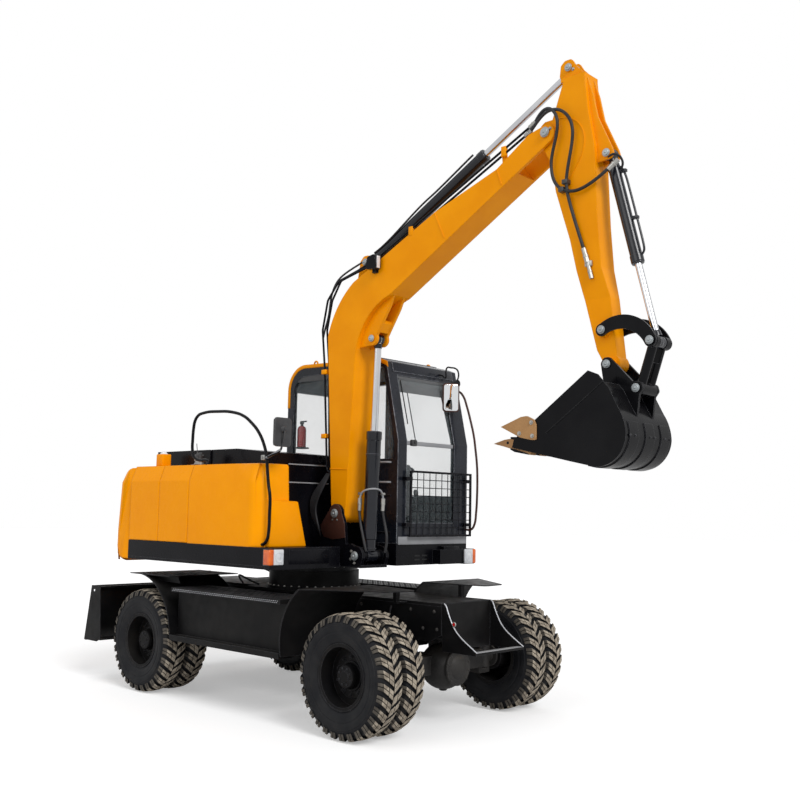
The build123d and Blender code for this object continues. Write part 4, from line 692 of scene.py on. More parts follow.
# Covers of the two axles' gears, with the front one's drain plug: name of the bolts, x, z and way of the cover
COVERS = (("axle_cover_bolts", 1650, 465, 1), ("rear_cover_bolts", -1180, 480, -1))
COVER_PROFILE = ((150, 128), (150, 150), (164, 150), (168, 146), (168, 100), (196, 60), (200, 0))
bm = bmesh.new()
for _, x, z, way in COVERS:
    lathe(bm, (x, 0, z), (way, 0, 0), COVER_PROFILE, 40)
lathe(bm, (1650, 0, 465), (0, 0, -1), ((178, 34), (200, 34), (206, 26), (206, 0)), 20)
keep(bm, "axle_covers", CHASSIS, CAST_IRON)
for name, x, middle, way in COVERS:
    bolts(name, CHASSIS, [(x + 168 * way, y, z) for y, z in circle((0, middle), 137, 12, 15)], (way, 0, 0), 7,
          CAST_IRON)
bm = bmesh.new()                                          # joint crosses of the drive shaft
for x, yaw in ((-760, 0), (1300, 0.5)):
    for k in range(2):
        a = yaw + k * pi / 2
        round_bar(bm, (x, 46 * cos(a), 480 + 46 * sin(a)), (x, -46 * cos(a), 480 - 46 * sin(a)), 17, sides=16)
keep(bm, "shaft_joints", CHASSIS, CAST_IRON)
BRAKE_LINE = ((1330, 300, 960), (1360, 380, 900), (1420, 420, 760), (1500, 430, 640), (1560, 440, 560))
for name, points in (
    *(("brake_hose_" + side, [(x, hand * y, z) for x, y, z in BRAKE_LINE]) for side, hand in SIDES[::-1]),
    ("axle_hose", ((1420, -120, 950), (1450, -100, 860), (1500, -60, 760), (1560, -50, 700), (1600, -40, 665))),
    ("deck_hose", ((-560, -420, 1030), (-520, -520, 1110), (-430, -560, 1125), (-340, -540, 1080),
                   (-300, -430, 1030))),
):
    hose(name, points, 9, CHASSIS)

# Blade: cutting edge with its bolts
BLADE_BOLTS = [-1050 + 150 * k for k in range(15)]
build("cutting_edge", "blade", EDGE_STEEL,
      (plate, ((-2206, 384), (-2150, 480), (-2136, 472), (-2190, 380)), (-1141, 1141), 2))
bolts("cutting_edge_bolts", "blade", [(-2178, y, 432) for y in BLADE_BOLTS], (-0.86, 0, 0.5), 9, CAST_IRON)


# Upper body

WALL_Y = 1150          # half the width over the covers
SILL = 1420            # foot of the orange covers
EAVES = 1990           # top of the upright orange wall
CREASE = 2137          # top of the slanted band above it
CRISP = 0.3            # least angle in radians of an edge worth rounding
LEDGE = 1855           # the tank cover's nose leans back above this height
BAND_SLOPE = 50 / 135  # how far the counterweight's sides lean in as they rise over the eaves
RAIL_Y = -1080         # middle plane of the hand rail
RAIL_ROUTE = (         # (x, z) of the hand rail
    (512, 1440), (556, 1450), (596, 1488), (614, 1560), (618, 1700), (616, 1847), (590, 1960), (570, 2080),
    (556, 2180), (512, 2296), (430, 2410), (330, 2492), (220, 2556), (54, 2600), (-150, 2618), (-390, 2616),
    (-470, 2596), (-515, 2550), (-534, 2480), (-541, 2380), (-541, 2291), (-525, 2232), (-480, 2196), (-409, 2179),
    (-320, 2178), (-290, 2166), (-282, 2137),
)
# Marker box and its lens on the flat top
build("marker_box", UPPER, ORANGE, (soft_block, (-1262, -1146), (-1000, -900), (CREASE - 1, 2262), 10, 3))
build("marker_dome", UPPER, LENS,
      (lathe, (-1204, -950, 2262), (0, 0, 1), ((0, 40), (5, 40), (6, 34), (14, 31), (24, 20), (28, 8), (29, 0)), 32))

# Filler cap and its lever
build("filler_cap", UPPER, BLACK_PLASTIC,
      (lathe, (-608, -950, 2137), (0, 0, 1), ((0, 78), (8, 78), (12, 70), (12, 46)), 36),
      (lathe, (-608, -950, 2195), (0, 0, 1), ((0, 40), (8, 46), (40, 46), (48, 38), (48, 0)), 12),
      (soft_block, (-650, -566), (-956, -944), (2240, 2262), 4, 2))
build("filler_neck", UPPER, ZINC,
      (lathe, (-608, -950, 2147), (0, 0, 1),
       ((0, 46), (4, 50), (14, 50), (18, 42), (34, 42), (38, 50), (48, 50), (50, 44)), 10))
hose("aerial", ((-640, -950, 2250), (-650, -950, 2300), (-662, -948, 2350)), 3.5, UPPER, BLACK_PLASTIC)

bm = bmesh.new()                                          # louvres and ribs of the engine hood
for across in ((150, 560), (-560, -150)):
    for x in range(-1440, -1070, 46):
        plate(bm, ((x, 2298), (x + 8, 2307), (x + 30, 2307), (x + 34, 2298)), across, 2)
for y in (-640, 0, 640):
    soft_block(bm, (-1500, -700), (y - 14, y + 14), (2297, 2306), 3)
keep(bm, "hood_louvres", "engine_hood", BODY_BLACK)
bm = bmesh.new()
for z in range(1560, 1921, 40):
    section(bm, ((1146, z), (1146, z + 26), (1156, z + 20), (1160, z + 4)), (-1330, -780), 1.5)
keep(bm, "left_door_louvres", "hood_left", ORANGE)
bm = bmesh.new()
for z in range(1700, 2053, 32):
    plate(bm, ((-1739, z), (-1739, z + 20), (-1747, z + 15), (-1750, z + 3)), (-480, 480), 1.5)
keep(bm, "rear_grille", UPPER, BODY_BLACK)


def crisp(bm, wanted):
    """Edges between faces that meet at an angle, where a test on both ends holds."""
    return [e for e in bm.edges if len(e.link_faces) == 2 and e.calc_face_angle() > CRISP
            and all(wanted((v.co - spot(0, 0, 0)) / MM) for v in e.verts)]


def soften(bm, wanted, radius, segments):
    """Rounds the crisp edges that pass a test."""
    bmesh.ops.bevel(bm, geom=crisp(bm, wanted), offset=radius * MM, segments=segments, profile=0.5, affect="EDGES",
                    material=-1)


bm = bmesh.new()                                          # tank cover with its round corner and stepped nose
section(bm, ((-WALL_Y, SILL), (-WALL_Y, EAVES), (-1100, CREASE), (-800, CREASE), (-800, SILL)), (-467, 560))
soften(bm, lambda at: at.x > 550 and at.y < -1090, 150, 10)
soften(bm, lambda at: at.z > EAVES - 5 and at.x > -460, 26, 4)
for vert in bm.verts:
    if vert.co.x > spot(480, 0, 0).x:
        vert.co.x -= 0.16 * max(0, vert.co.z - LEDGE * MM)
cover = set(bm.verts)
section(bm, ((-1060, SILL), (-1060, 1820), (-728, 1815), (-640, SILL)), (480, 604), 14)
for vert in bm.verts:
    if vert not in cover and vert.co.x > spot(540, 0, 0).x:
        vert.co.x -= 0.06 * (vert.co.z - SILL * MM)
soft_block(bm, (-1445, -460), (-1050, -800), (2117, CREASE), 5)
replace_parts(keep(bm, "round_tank_cover", UPPER, ORANGE, 30), "tank_cover")

bm = bmesh.new()                                          # counterweight: leaning back, round at its corners and foot
plate(bm, ((-1450, 1240), (-1700, 1240), (-1738, 1290), (-1738, 1500), (-1700, EAVES), (-1668, 2125), (-1450, 2125)),
      (-WALL_Y, WALL_Y))
soften(bm, lambda at: abs(at.y) > 1140 and at.x < -1600, 120, 8)
soften(bm, lambda at: at.x < -1460 and (at.z > 2100 or at.z < 1300), 24, 3)
for vert in bm.verts:
    if abs(vert.co.y) > 0.9:
        vert.co.y -= copysign(BAND_SLOPE, vert.co.y) * max(0, vert.co.z - EAVES * MM)
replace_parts(keep(bm, "round_counterweight", UPPER, ORANGE, 30), "counterweight")

bm = bmesh.new()                                          # pressed ribs of the tank box's front, pale as a painted highlight along them
for z in (1992, 2160):
    soft_block(bm, (176, 190), (-520, -10), (z - 6, z + 6), 3)
keep(bm, "tank_box_rib_highlights", UPPER, PALE_STEEL)

bm = bmesh.new()                                          # hand rail over the tank cover
bent_tube(bm, [(x, RAIL_Y, z) for x, z in RAIL_ROUTE], 14)
bent_tube(bm, ((545, RAIL_Y, 2182), (640, -1100, 2197), (740, RAIL_Y, 2247), (740, RAIL_Y, 2337)), 9)
section(bm, rounded_box((-1160, -980), (2273, 2513), 30), (732, 750), 5)
for x, z in (RAIL_ROUTE[0], RAIL_ROUTE[-1]):
    round_bar(bm, (x - 6, RAIL_Y, z), (x + 6, RAIL_Y, z), 22, sides=20)
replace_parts(keep(bm, "smooth_hand_rail", UPPER, BODY_BLACK, 40), "hand_rail")

# Front of the right mirror: rounded housing and ball joint
build("right_mirror_housing", UPPER, BLACK_PLASTIC,
      (section, rounded_box((-1164, -976), (2269, 2517), 34), (728, 755), 8),
      (lathe, (755, -1068, 2420), (1, 0, 0), ((0, 34), (10, 30), (24, 16), (30, 16), (32, 0)), 24))
build("right_mirror_glass", UPPER, MIRROR,
      (section, ((-1156, 2277), (-1156, 2509), (-984, 2509), (-984, 2277)), (724, 730), 1.5))
hose("right_mirror_stay", ((772, -1068, 2420), (782, -1076, 2370), (770, -1080, 2300), (742, -1080, 2250)), 8, UPPER,
     BLACK_PLASTIC)
hose("right_mirror_arm", ((530, -1080, 2178), (600, -1090, 2187), (660, -1098, 2205), (742, -1082, 2245)), 11, UPPER,
     PALE_STEEL)
build("rail_clamp", UPPER, ZINC,
      (soft_block, (505, 552), (-1106, -1054), (2160, 2204), 6, 2),
      (bolt, (530, -1106, 2182), (0, -1, 0), 8))

# Plate on the front skirt under the boom
build("front_skirt_plate", UPPER, BODY_BLACK,
      (section, ((-940, 1278), (-940, 1400), (-480, 1400), (-480, 1278)), (719, 724), 2))


def lamp(name, x, y, z, amber_y, hand):
    """A front lamp: black box, ribbed white lens with a turned middle, and an amber corner; returns the lens."""
    edge, inner = (y[1], y[0]) if hand > 0 else y
    clear, tall = sorted((amber_y, inner)), (z[0] + 5, z[1] - 5)
    reach = min(clear[1] - clear[0], z[1] - z[0]) / 2 - 12
    bowl = ((0, reach), (5, reach), (5, reach - 4), (1, reach - 8), (1, reach * 0.5), (6, reach * 0.3), (7, 0))
    build(name + "_box", UPPER, BLACK_PLASTIC, (soft_block, (x[0], x[1] - 14), y, z, 6, 2))
    build(name + "_bowl", UPPER, LENS, (lathe, (x[1] - 2, sum(clear) / 2, sum(z) / 2), (1, 0, 0), bowl, 28))
    build(name + "_amber", UPPER, AMBER,
          (soft_block, (x[0] + 6, x[1] - 1), sorted((amber_y, edge + hand * 3)), tall, 10, 3))
    bm = bmesh.new()
    soft_block(bm, (x[1] - 22, x[1]), clear, tall, 9, 3)
    return keep(bm, name + "_lens", UPPER, LENS)


right_lens = lamp("right_lamp", (640, 736), (-1158, -1005), (1272, 1412), -1112, -1)
lamp("left_lamp", (940, 1064), (985, 1150), (1250, 1395), 1105, 1)
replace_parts(right_lens, "lamps")


# Cab

BEND = 2400            # the screen leans back above this height
SCREEN_X = 915         # and stands here below it
LEAN = 155 / 690       # mm back for each mm up


def screen_x(z):
    """How far forward the screen's plane is at a height."""
    return SCREEN_X - LEAN * (z - BEND)


def frame_of(bm, places, width, depth):
    """A seal of one width that follows an outline, standing proud by a depth."""
    face = bm.faces.new([bm.verts.new(place) for place in places])
    bmesh.ops.inset_region(bm, faces=[face], thickness=width * MM, use_even_offset=True, use_boundary=True)
    bmesh.ops.delete(bm, geom=[face], context="FACES")
    raise_faces(bm, bm.faces[:], depth)


rear_light = [(-552, 2228), (-552, 2934), *corner_arc((-390, 2934), 160, 180, 90), (302, 3102), (302, 2228)]
front_light = [(368, 2228), (368, 3102), (684, 3105), (737, 3092), (882, 2400), (882, 2228)]
door_light = [(-32, 1898), (-32, 3002), (591, 3017), (777, 2386), (777, 1898)]
left_rear_light = [(-552, 2228), (-552, 2927), *corner_arc((-390, 2927), 160, 180, 90), (-158, 3092), (-158, 2228)]
for name, outline, y, depth, body in (
    ("rear_light_seal", rear_light, 153, -7, UPPER), ("front_light_seal", front_light, 153, -7, UPPER),
    ("left_light_seal", left_rear_light, 1147, 7, UPPER), ("door_light_seal", door_light, 1147, 7, "cab_door"),
):
    bm = bmesh.new()
    frame_of(bm, [spot(x, y, z) for x, z in outline], 20, (0, depth * MM, 0))
    keep(bm, name, body, SEAL)
screen = [*corner_arc((350, 1720), 80, 180, 270), *corner_arc((870, 1720), 80, 270, 360), (950, BEND),
          *corner_arc((870, 2945), 80, 0, 90), *corner_arc((350, 2945), 80, 90, 180), (270, BEND)]
bm = bmesh.new()                                          # seal of the windscreen
frame_of(bm, [spot(8 + screen_x(max(z, BEND)), y, z) for y, z in screen], 16, (8 * MM, 0, 0))
keep(bm, "screen_seal", UPPER, SEAL)
# Dark band over the rear side light
build("light_band", UPPER, BLACK_PLASTIC,
      (plate, ((-500, 3040), *corner_arc((-390, 2934), 160, 135, 90), (302, 3096), (302, 3040)), (150, 153)))
bm = bmesh.new()
rear = ((228, 2198), (1072, 2198), (1072, 2952), (228, 2952))
frame_of(bm, [spot(-638, y, z) for y, z in rear], 20, (-7 * MM, 0, 0))
keep(bm, "rear_window_seal", UPPER, SEAL)
build("screen_bar", UPPER, PALE_STEEL, (soft_block, (903, 929), (272, 948), (2362, 2400), 5))

bm = bmesh.new()                                          # orange edge round the cab's right roof line
arc = corner_arc((-390, 2961), 254, 180, 90, 10)
inner = corner_arc((-390, 2961), 216, 90, 180, 10)
plate(bm, [(-644, 2780), *arc, (680, 3188), (776, 3153), (790, 3090), (766, 3112), (676, 3150), *inner, (-606, 2780)],
      (147, 158), 2)
keep(bm, "roof_edge", UPPER, ORANGE)
bm = bmesh.new()                                          # eye bolts in the roof
for x, y, centre in ((-330, 245, 3232.4), (500, 1040, 3214.8)):
    lathe(bm, (x, y, centre - 40), (0, 0, 1), ((0, 0), (0, 30), (10, 30), (14, 18), (18, 12), (18, 0)), 20)
    bent_tube(bm, [(x + 24 * cos(radians(a)), y, centre + 24 * sin(radians(a))) for a in range(-90, 271, 30)], 9)
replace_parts(keep(bm, "eye_bolts", UPPER, ORANGE, 40), "lifting_eyes")
# Raised pan of the roof, and the visor before it
build("roof_pan", UPPER, CAB_PAINT, (slab, ((-560, 230), (-560, 1070), (600, 1070), (600, 230)), (3186, 3214), 12))
build("screen_visor", UPPER, CAB_PAINT,
      (plate, ((676, 3186), (776, 3152), (800, 3060), (792, 3055), (764, 3140), (676, 3172)), (215, 1085), 2))

# Wiper: motor, arm and blade over the screen
build("wiper_motor", UPPER, BLACK_PLASTIC,
      (soft_block, (924, 962), (322, 392), (2352, 2412), 10, 3),
      (round_bar, (962, 357, 2385), (974, 357, 2385), 13, 11, 16))
hose("wiper_arm", ((970, 357, 2386), (958, 352, 2450), (915, 345, 2650), (868, 338, 2860)), 5, UPPER, BLACK_PLASTIC)
bm = bmesh.new()
section(bm, ((322, 2560), (330, 2565), (318, 2985), (310, 2980)), (0, 8), 1)
for vert in bm.verts:                                     # the blade lies on the leaning screen
    vert.co.x += (screen_x(vert.co.z / MM) + 10) * MM
keep(bm, "wiper_blade", UPPER, SEAL)

bm = bmesh.new()                                          # bright bolts on the guard's hinges
for z in (1622, 2045):
    for y in (232, 262):
        bolt(bm, (953, y, z), (1, 0, 0), 8)
keep(bm, "guard_hinge_bolts", UPPER, ZINC)
build("cab_sill_plate", UPPER, PALE_STEEL,
      (section, ((165, 1440), (165, 1512), (1135, 1512), (1135, 1440)), (940, 948), 2))
bm = bmesh.new()                                          # vent slots in the front skirt, as dark rubber blocks: painted shade in the openings
for y in (430, 535):
    for z in (1298, 1334):
        soft_block(bm, (938, 943), (y - 36, y + 36), (z - 8, z + 8), 2)
keep(bm, "vent_slot_shade", UPPER, SEAL)
build("step_bracket", UPPER, BODY_BLACK, (soft_block, (938, 990), (760, 985), (1262, 1420), 8, 2))


def turn_mirror(bm):
    """Swings the left mirror towards the seat about its stem, and shifts it in under its arm."""
    bmesh.ops.rotate(bm, verts=bm.verts, cent=spot(892, 1050, 2870), matrix=Matrix.Rotation(radians(-38), 3, "Z"))
    bmesh.ops.translate(bm, verts=bm.verts, vec=(0.01, -0.115, 0))
    return bm


bm = bmesh.new()                                          # left mirror: housing with round corners, glass both ways
section(bm, rounded_box((966, 1134), (2724, 3011), 34), (881, 903), 5)
keep(turn_mirror(bm), "left_mirror_housing", UPPER, PRIMER_BROWN)
bm = bmesh.new()
for x in ((901, 905), (879, 883)):
    section(bm, rounded_box((978, 1122), (2736, 2999), 26), x, 1.5)
keep(turn_mirror(bm), "left_mirror_glass", UPPER, MIRROR)

BOW = ((775, 2950), (850, 2948), (906, 2900), (956, 2790), (1001, 2657), (1046, 2500), (1070, 2360), (1091, 2200),
       (1097, 2062), (1095, 1900), (1085, 1740), (1066, 1630), (1030, 1582), (945, 1575))
bm = bmesh.new()                                          # bowed rail before the cab's left corner
bent_tube(bm, [(x, 1120, z) for x, z in BOW], 11)
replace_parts(keep(bm, "bowed_rail", UPPER, PRIMER_BROWN, 40), "cab_rails")
build("mirror_arm", UPPER, BODY_BLACK,
      (bent_tube, ((760, 880, 3100), (840, 876, 3085), (886, 870, 3060), (892, 867, 3120), (892, 884, 3160),
                   (892, 940, 3168), (892, 1030, 3162), (892, 1054, 3140), (892, 1052, 3070), (892, 1000, 3030),
                   (898, 950, 3015), (900, 935, 2960)), 8),
      (lathe, (880, 1040, 3020), (1, 0, 0), ((0, 0), (2, 20), (8, 34), (20, 38), (24, 36), (24, 0)), 28),
      angle=40)
bm = bmesh.new()                                          # grab rails on the right panel
for z in (2010, 2195):
    for low, high in ((-500, -60), (700, 850)):
        bent_tube(bm, ((low, 152, z), (low + 6, 130, z), (low + 26, 116, z), (high - 26, 116, z), (high - 6, 130, z),
                       (high, 152, z)), 9)
keep(bm, "grab_rails", UPPER, PALE_STEEL, 40)

bm = bmesh.new()                                          # pressed ribs in the cab's right panel
for along in ((-520, 280), (380, 860)):
    for z in (1540, 1880):
        soft_block(bm, along, (143, 151), (z, z + 16), 4)
keep(bm, "panel_ribs", UPPER, BODY_BLACK)
# Door handle
build("door_handle", "cab_door", BLACK_PLASTIC,
      (soft_block, (700, 830), (1150, 1158), (1700, 1790), 6),
      (soft_block, (715, 815), (1158, 1176), (1752, 1772), 6, 3))

# Inside: blind, extinguisher, trim, pillar, pedals and seat
build("screen_blind", UPPER, BLIND_CLOTH,
      (round_bar, (770, 260, 3010), (770, 960, 3010), 24, None, 20),
      (plate, ((768, 3012), (775, 3012), (812, 2870), (806, 2868)), (275, 945), 1))
build("extinguisher", UPPER, RED,
      (lathe, (-540, 260, 2380), (0, 0, 1),
       ((0, 0), (0, 42), (6, 46), (190, 46), (214, 34), (224, 16), (224, 0)), 28))
build("extinguisher_head", UPPER, BLACK_PLASTIC,
      (lathe, (-540, 260, 2604), (0, 0, 1), ((0, 16), (20, 16), (22, 22), (40, 22), (42, 0)), 16),
      (soft_block, (-560, -470), (252, 268), (2640, 2654), 4),
      (soft_block, (-596, -484), (210, 316), (2366, 2382), 4))
bm = bmesh.new()
soft_block(bm, (-590, 880), (200, 1100), (1451, 1462), 3)
for y in (415, 905):
    soft_block(bm, (-300, 140), (y - 16, y + 16), (1950, 1995), 10, 3)
soft_block(bm, (-594, -574), (232, 1068), (1470, 2180), 8, 3)
soft_block(bm, (-560, 640), (240, 1060), (3120, 3134), 6, 2)
keep(bm, "cab_trim", UPPER, MAT_RUBBER)
build("monitor_pillar", UPPER, BLACK_PLASTIC,
      (soft_block, (800, 880), (236, 400), (1700, 2180), 20, 3),
      (plate, ((740, 2120), (740, 2300), (760, 2330), (800, 2310), (800, 2120)), (240, 420), 8))
bm = bmesh.new()
for y in (520, 780):
    plate(bm, ((560, 1470), (700, 1560), (708, 1548), (568, 1458)), (y - 55, y + 55), 4)
    round_bar(bm, (640, y, 1520), (600, y, 1900), 9, sides=14)
    lathe(bm, (600, y, 1880), (-0.1, 0, 1), ((0, 12), (6, 22), (60, 24), (78, 14), (80, 0)), 20)
keep(bm, "pedals", UPPER, BLACK_PLASTIC)


def cushion(name, x, y, z, crown, waist, lean=0.0, pull=10):
    """A padded piece: a box subdivided and crowned, its sides pulled in between the corners and full at the waist."""
    bm = bmesh.new()
    block(bm, x, y, z)
    bmesh.ops.subdivide_edges(bm, edges=bm.edges[:], cuts=7, use_grid_fill=True)
    middle = spot((x[0] + x[1]) / 2, (y[0] + y[1]) / 2, (z[0] + z[1]) / 2)
    half = Vector(((x[1] - x[0]) / 2, (y[1] - y[0]) / 2, (z[1] - z[0]) / 2)) * MM
    thin = min(range(3), key=lambda k: half[k])
    wide = [k for k in range(3) if k != thin]
    for vert in bm.verts:
        off = vert.co - middle
        share = [off[k] / half[k] for k in range(3)]
        puff = (1 - share[wide[0]] ** 2) * (1 - share[wide[1]] ** 2)
        vert.co[thin] += share[thin] * crown * MM * puff
        for k, other in (wide, wide[::-1]):
            vert.co[k] -= share[k] * pull * MM * (1 - share[other] ** 2) * abs(share[k])
            vert.co[k] += share[k] * waist * MM * (1 - share[thin] ** 2) * abs(share[k]) ** 3
        vert.co.x -= lean * (vert.co.z - z[0] * MM)
    piece = keep(bm, name, None, SEAT_CLOTH, 80)
    smooth = piece.modifiers.new("round", "SUBSURF")
    smooth.levels = smooth.render_levels = 2
    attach(piece, UPPER)
    return piece


seat_parts = [
    cushion("seat_cushion", (-240, 235), (430, 890), (1795, 1925), 14, 6),
    cushion("seat_back", (-240, -125), (450, 870), (1915, 2470), 16, 6, 0.19),
    cushion("head_rest", (-225, -140), (530, 790), (2480, 2645), 10, 4, 0.19),
]
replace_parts(seat_parts[0], "seat")
bm = bmesh.new()
soft_block(bm, (-230, 200), (450, 870), (1452, 1480), 8)
for k in range(6):                                        # folds of the seat's bellows
    tuck = k % 2
    soft_block(bm, (-200 + 6 * tuck, 170 - 6 * tuck), (470 + 8 * tuck, 850 - 8 * tuck),
               (1480 + 50 * k, 1532 + 50 * k), 12, 3)
soft_block(bm, (-245, 190), (440, 880), (1775, 1800), 8)
for y in (600, 720):
    round_bar(bm, (-330, y, 2440), (-345, y, 2520), 8, sides=12)
keep(bm, "seat_base", UPPER, BLACK_PLASTIC)


# Digging gear

def pin_end(bm, bolts_bm, x, z, y, hand, radius, keepers=()):
    """The turned end of a pin with its grease nipple; keepers are the (dx, dz) of its locking bolts."""
    lathe(bm, (x, y, z), (0, hand, 0), ((-4, radius + 7), (3, radius + 7), (5, radius + 4), (5, radius), (11, radius),
                                        (14, radius - 3), (14, 9), (17, 8), (22, 5), (22, 0)), 32)
    for dx, dz in keepers:
        bolt(bolts_bm, (x + dx, y - hand * 12, z + dz), (0, hand, 0), 9)


PINS = (               # body, place, half width, radius, keeper bolts
    (UPPER, FOOT, 180, 34, ((-30, -58), (30, -58))),
    (UPPER, LIFT_BASE, 180, 34, ((-52, 40), (-62, -30), (-10, -62))),
    ("boom", ELBOW, 144, 34, ((44, 22),)),
    ("boom", CROWD_BASE, 91, 25, ()),
    ("boom", LIFT_EYE, 93, 25, ()),
    ("arm", CROWD_EYE, 77, 25, ((38, -22),)),
    ("arm", CURL_BASE, 69, 25, ()),
    ("arm", ROCKER, 123, 25, ()),
    ("rocker", KNEE, 131, 25, ()),
    ("bucket", WRIST, 131, 25, ()),
    ("bucket", LINK_PIN, 131, 25, ()),
)
for k, (body, (x, z), half, radius, keepers) in enumerate(PINS):
    ends, fixings = bmesh.new(), bmesh.new()
    for hand in (-1, 1):
        pin_end(ends, fixings, x, z, BOOM_Y + hand * half, hand, radius, keepers)
    keep(ends, "pin_ends_%02d" % k, body, PIN_STEEL)
    if keepers:
        keep(fixings, "pin_bolts_%02d" % k, body, ZINC)
    else:
        fixings.free()

bm = bmesh.new()                                          # brown cheeks of the boom bracket
cheek = [(396, 1560), (396, 1600), (420, 1640), *corner_arc(FOOT, 84, 160, 0, 8), (708, 1628), (722, 1500),
         (560, 1480), (440, 1500)]
for low, high in ((-291, -286), (46, 51)):
    plate(bm, cheek, (low, high), 1)
keep(bm, "bracket_cheeks", UPPER, PRIMER_BROWN)

# Weld beads of the boom, arm and bucket
BOOM_FACE, ARM_FACE, BUCKET_FACE = -251, -216, -446      # y of their right sides
WELDS = (               # body, points
    ("boom", ((458, BOOM_FACE, 2121), (560, BOOM_FACE, 2119), (691, BOOM_FACE, 2113))),
    ("boom", ((726, -249, 2820), (727, -120, 2822), (727, 9, 2825))),
    ("boom", ((691, 9, 2117), (692, -120, 2115), (692, -249, 2113))),
    ("boom", ((1700, BOOM_FACE, 4308), (1760, BOOM_FACE, 4180), (1815, BOOM_FACE, 4066))),
    ("boom", ((2373, BOOM_FACE, 4538), (2400, BOOM_FACE, 4470), (2424, BOOM_FACE, 4400))),
    ("arm", [(x, ARM_FACE, z) for x, z in ((2968, 4829), (3060, 4815), (3150, 4750), (3200, 4630), (3180, 4500),
                                           (3124, 4412), (3023, 4275))]),
    ("bucket", ((3485, BUCKET_FACE, 2686), (3250, BUCKET_FACE, 2513), (2999, BUCKET_FACE, 2337))),
)
for k, (body, points) in enumerate(WELDS):
    hose("weld_%02d" % k, points, 4.5, body, BUCKET_BLACK if body == "bucket" else BOOM_ORANGE)

bm = bmesh.new()                                          # orange pipe clamps up the boom's back
for x, z in ((338, 3036), (356, 2430)):
    soft_block(bm, (x - 34, x + 30), (-254, -194), (z - 22, z + 22), 5)
for x, z in ((1420, 4220), (2440, 4700)):
    soft_block(bm, (x - 24, x + 24), (-252, -222), (z - 66, z + 20), 4)
keep(bm, "pipe_clamps", "boom", BOOM_ORANGE)
bm = bmesh.new()                                          # hose fittings where the steel pipes end
for a, b in (((2690, -236, 4817), (2755, -236, 4848)), ((2648, -236, 4756), (2712, -236, 4786))):
    ferrule(bm, a, b, 13)
keep(bm, "pipe_fittings", "boom", ZINC)

# Work lamp: rim and lens towards the digging
build("work_lamp_rim", "boom", BLACK_PLASTIC,
      (section, ((-325, 3905), (-325, 4030), (-273, 4030), (-273, 3905)), (1066, 1078), 5))
build("work_lamp_lens", "boom", LENS,
      (section, ((-319, 3912), (-319, 4023), (-279, 4023), (-279, 3912)), (1074, 1082), 3))

# Hoses of the digging gear: body, or two bodies with the start and end of the bend between them; a hose given two
# bodies is made in place and rides on neither
GEAR_HOSES = (
    ("knee_hose", "boom", None, 9, (
        (258, -200, 3356), (282, -205, 3450), (349, -210, 3559), (356, -210, 3732), (407, -205, 3870),
        (501, -200, 3953), (675, -200, 4002), (800, -196, 4040))),
    ("crowd_hose", "crowd_barrel", None, 9, (
        (900, -170, 4104), (1036, -176, 4150), (1300, -178, 4326), (1539, -176, 4475), (1620, -174, 4503),
        (2024, -172, 4742), (2056, -168, 4761))),
    ("curl_hose", "boom", ("arm", (2850, -250, 4916), (3040, -250, 4740)), 13, (
        (2750, -240, 4846), (2800, -250, 4900), (2866, -262, 4930), (2940, -266, 4892), (2990, -266, 4790),
        (2960, -262, 4640), (2905, -258, 4494), (2920, -252, 4320), (3005, -250, 4226), (3127, -250, 4187),
        (3261, -250, 4221), (3374, -236, 4288), (3440, -212, 4352))),
    ("arm_hose", "boom", ("arm", (2850, -250, 4870), (3060, -250, 4700)), 13, (
        (2710, -240, 4785), (2780, -246, 4850), (2860, -256, 4905), (2990, -262, 4892), (3096, -262, 4790),
        (3124, -258, 4650), (3076, -252, 4462), (3040, -250, 4290), (3060, -246, 4160), (3130, -240, 3930),
        (3196, -232, 3722))),
)
for name, body, other, radius, points in GEAR_HOSES:
    if other is None:
        hose(name, points, radius, body)
    else:
        second, start, end = other
        piece = keep_mesh(hose_mesh(name, points, radius), name, None, HOSE, 40)
        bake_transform(piece)

# Clamps and fittings on the arm
build("arm_hose_clamps", "arm", BLACK_PLASTIC,
      (soft_block, (3016, 3066), (-268, -214), (4270, 4306), 4),
      (soft_block, (2986, 3034), (-272, -214), (4212, 4250), 4))
build("arm_fittings", "arm", ZINC,
      (ferrule, (3190, -232, 3740), (3224, -228, 3626), 14),
      (ferrule, (3224, -228, 3626), (3256, -224, 3500), 11),
      (soft_block, (3200, 3262), (-236, -214), (3596, 3640), 6))
build("curl_fitting", "arm", ZINC, (ferrule, (3400, -222, 4310), (3470, -196, 4380), 14))

# Cylinders: collars, rod eyes, pipes, fittings and hoses

def line_of(base, tip):
    """The foot and the direction of a cylinder between two pins."""
    foot = Vector((base[0], BOOM_Y, base[1]))
    return foot, (Vector((tip[0], BOOM_Y, tip[1])) - foot).normalized()


LIFT_FOOT, LIFT_AXIS = line_of(LIFT_BASE, LIFT_EYE)
CURL_FOOT, CURL_AXIS = line_of(CURL_BASE, KNEE)
CURL_SIDE = Vector((-CURL_AXIS.z, 0, CURL_AXIS.x))


def on_lift(distance, dx=0.0, dy=0.0):
    """A place beside the lift cylinder, at a distance up from its foot."""
    place = LIFT_FOOT + LIFT_AXIS * distance
    return (place.x + dx, place.y + dy, place.z)


def on_curl(distance, out, dy=0.0):
    """A place outside the curl cylinder, at a distance down from its foot."""
    place = CURL_FOOT + CURL_AXIS * distance + CURL_SIDE * out
    return (place.x, place.y + dy, place.z)


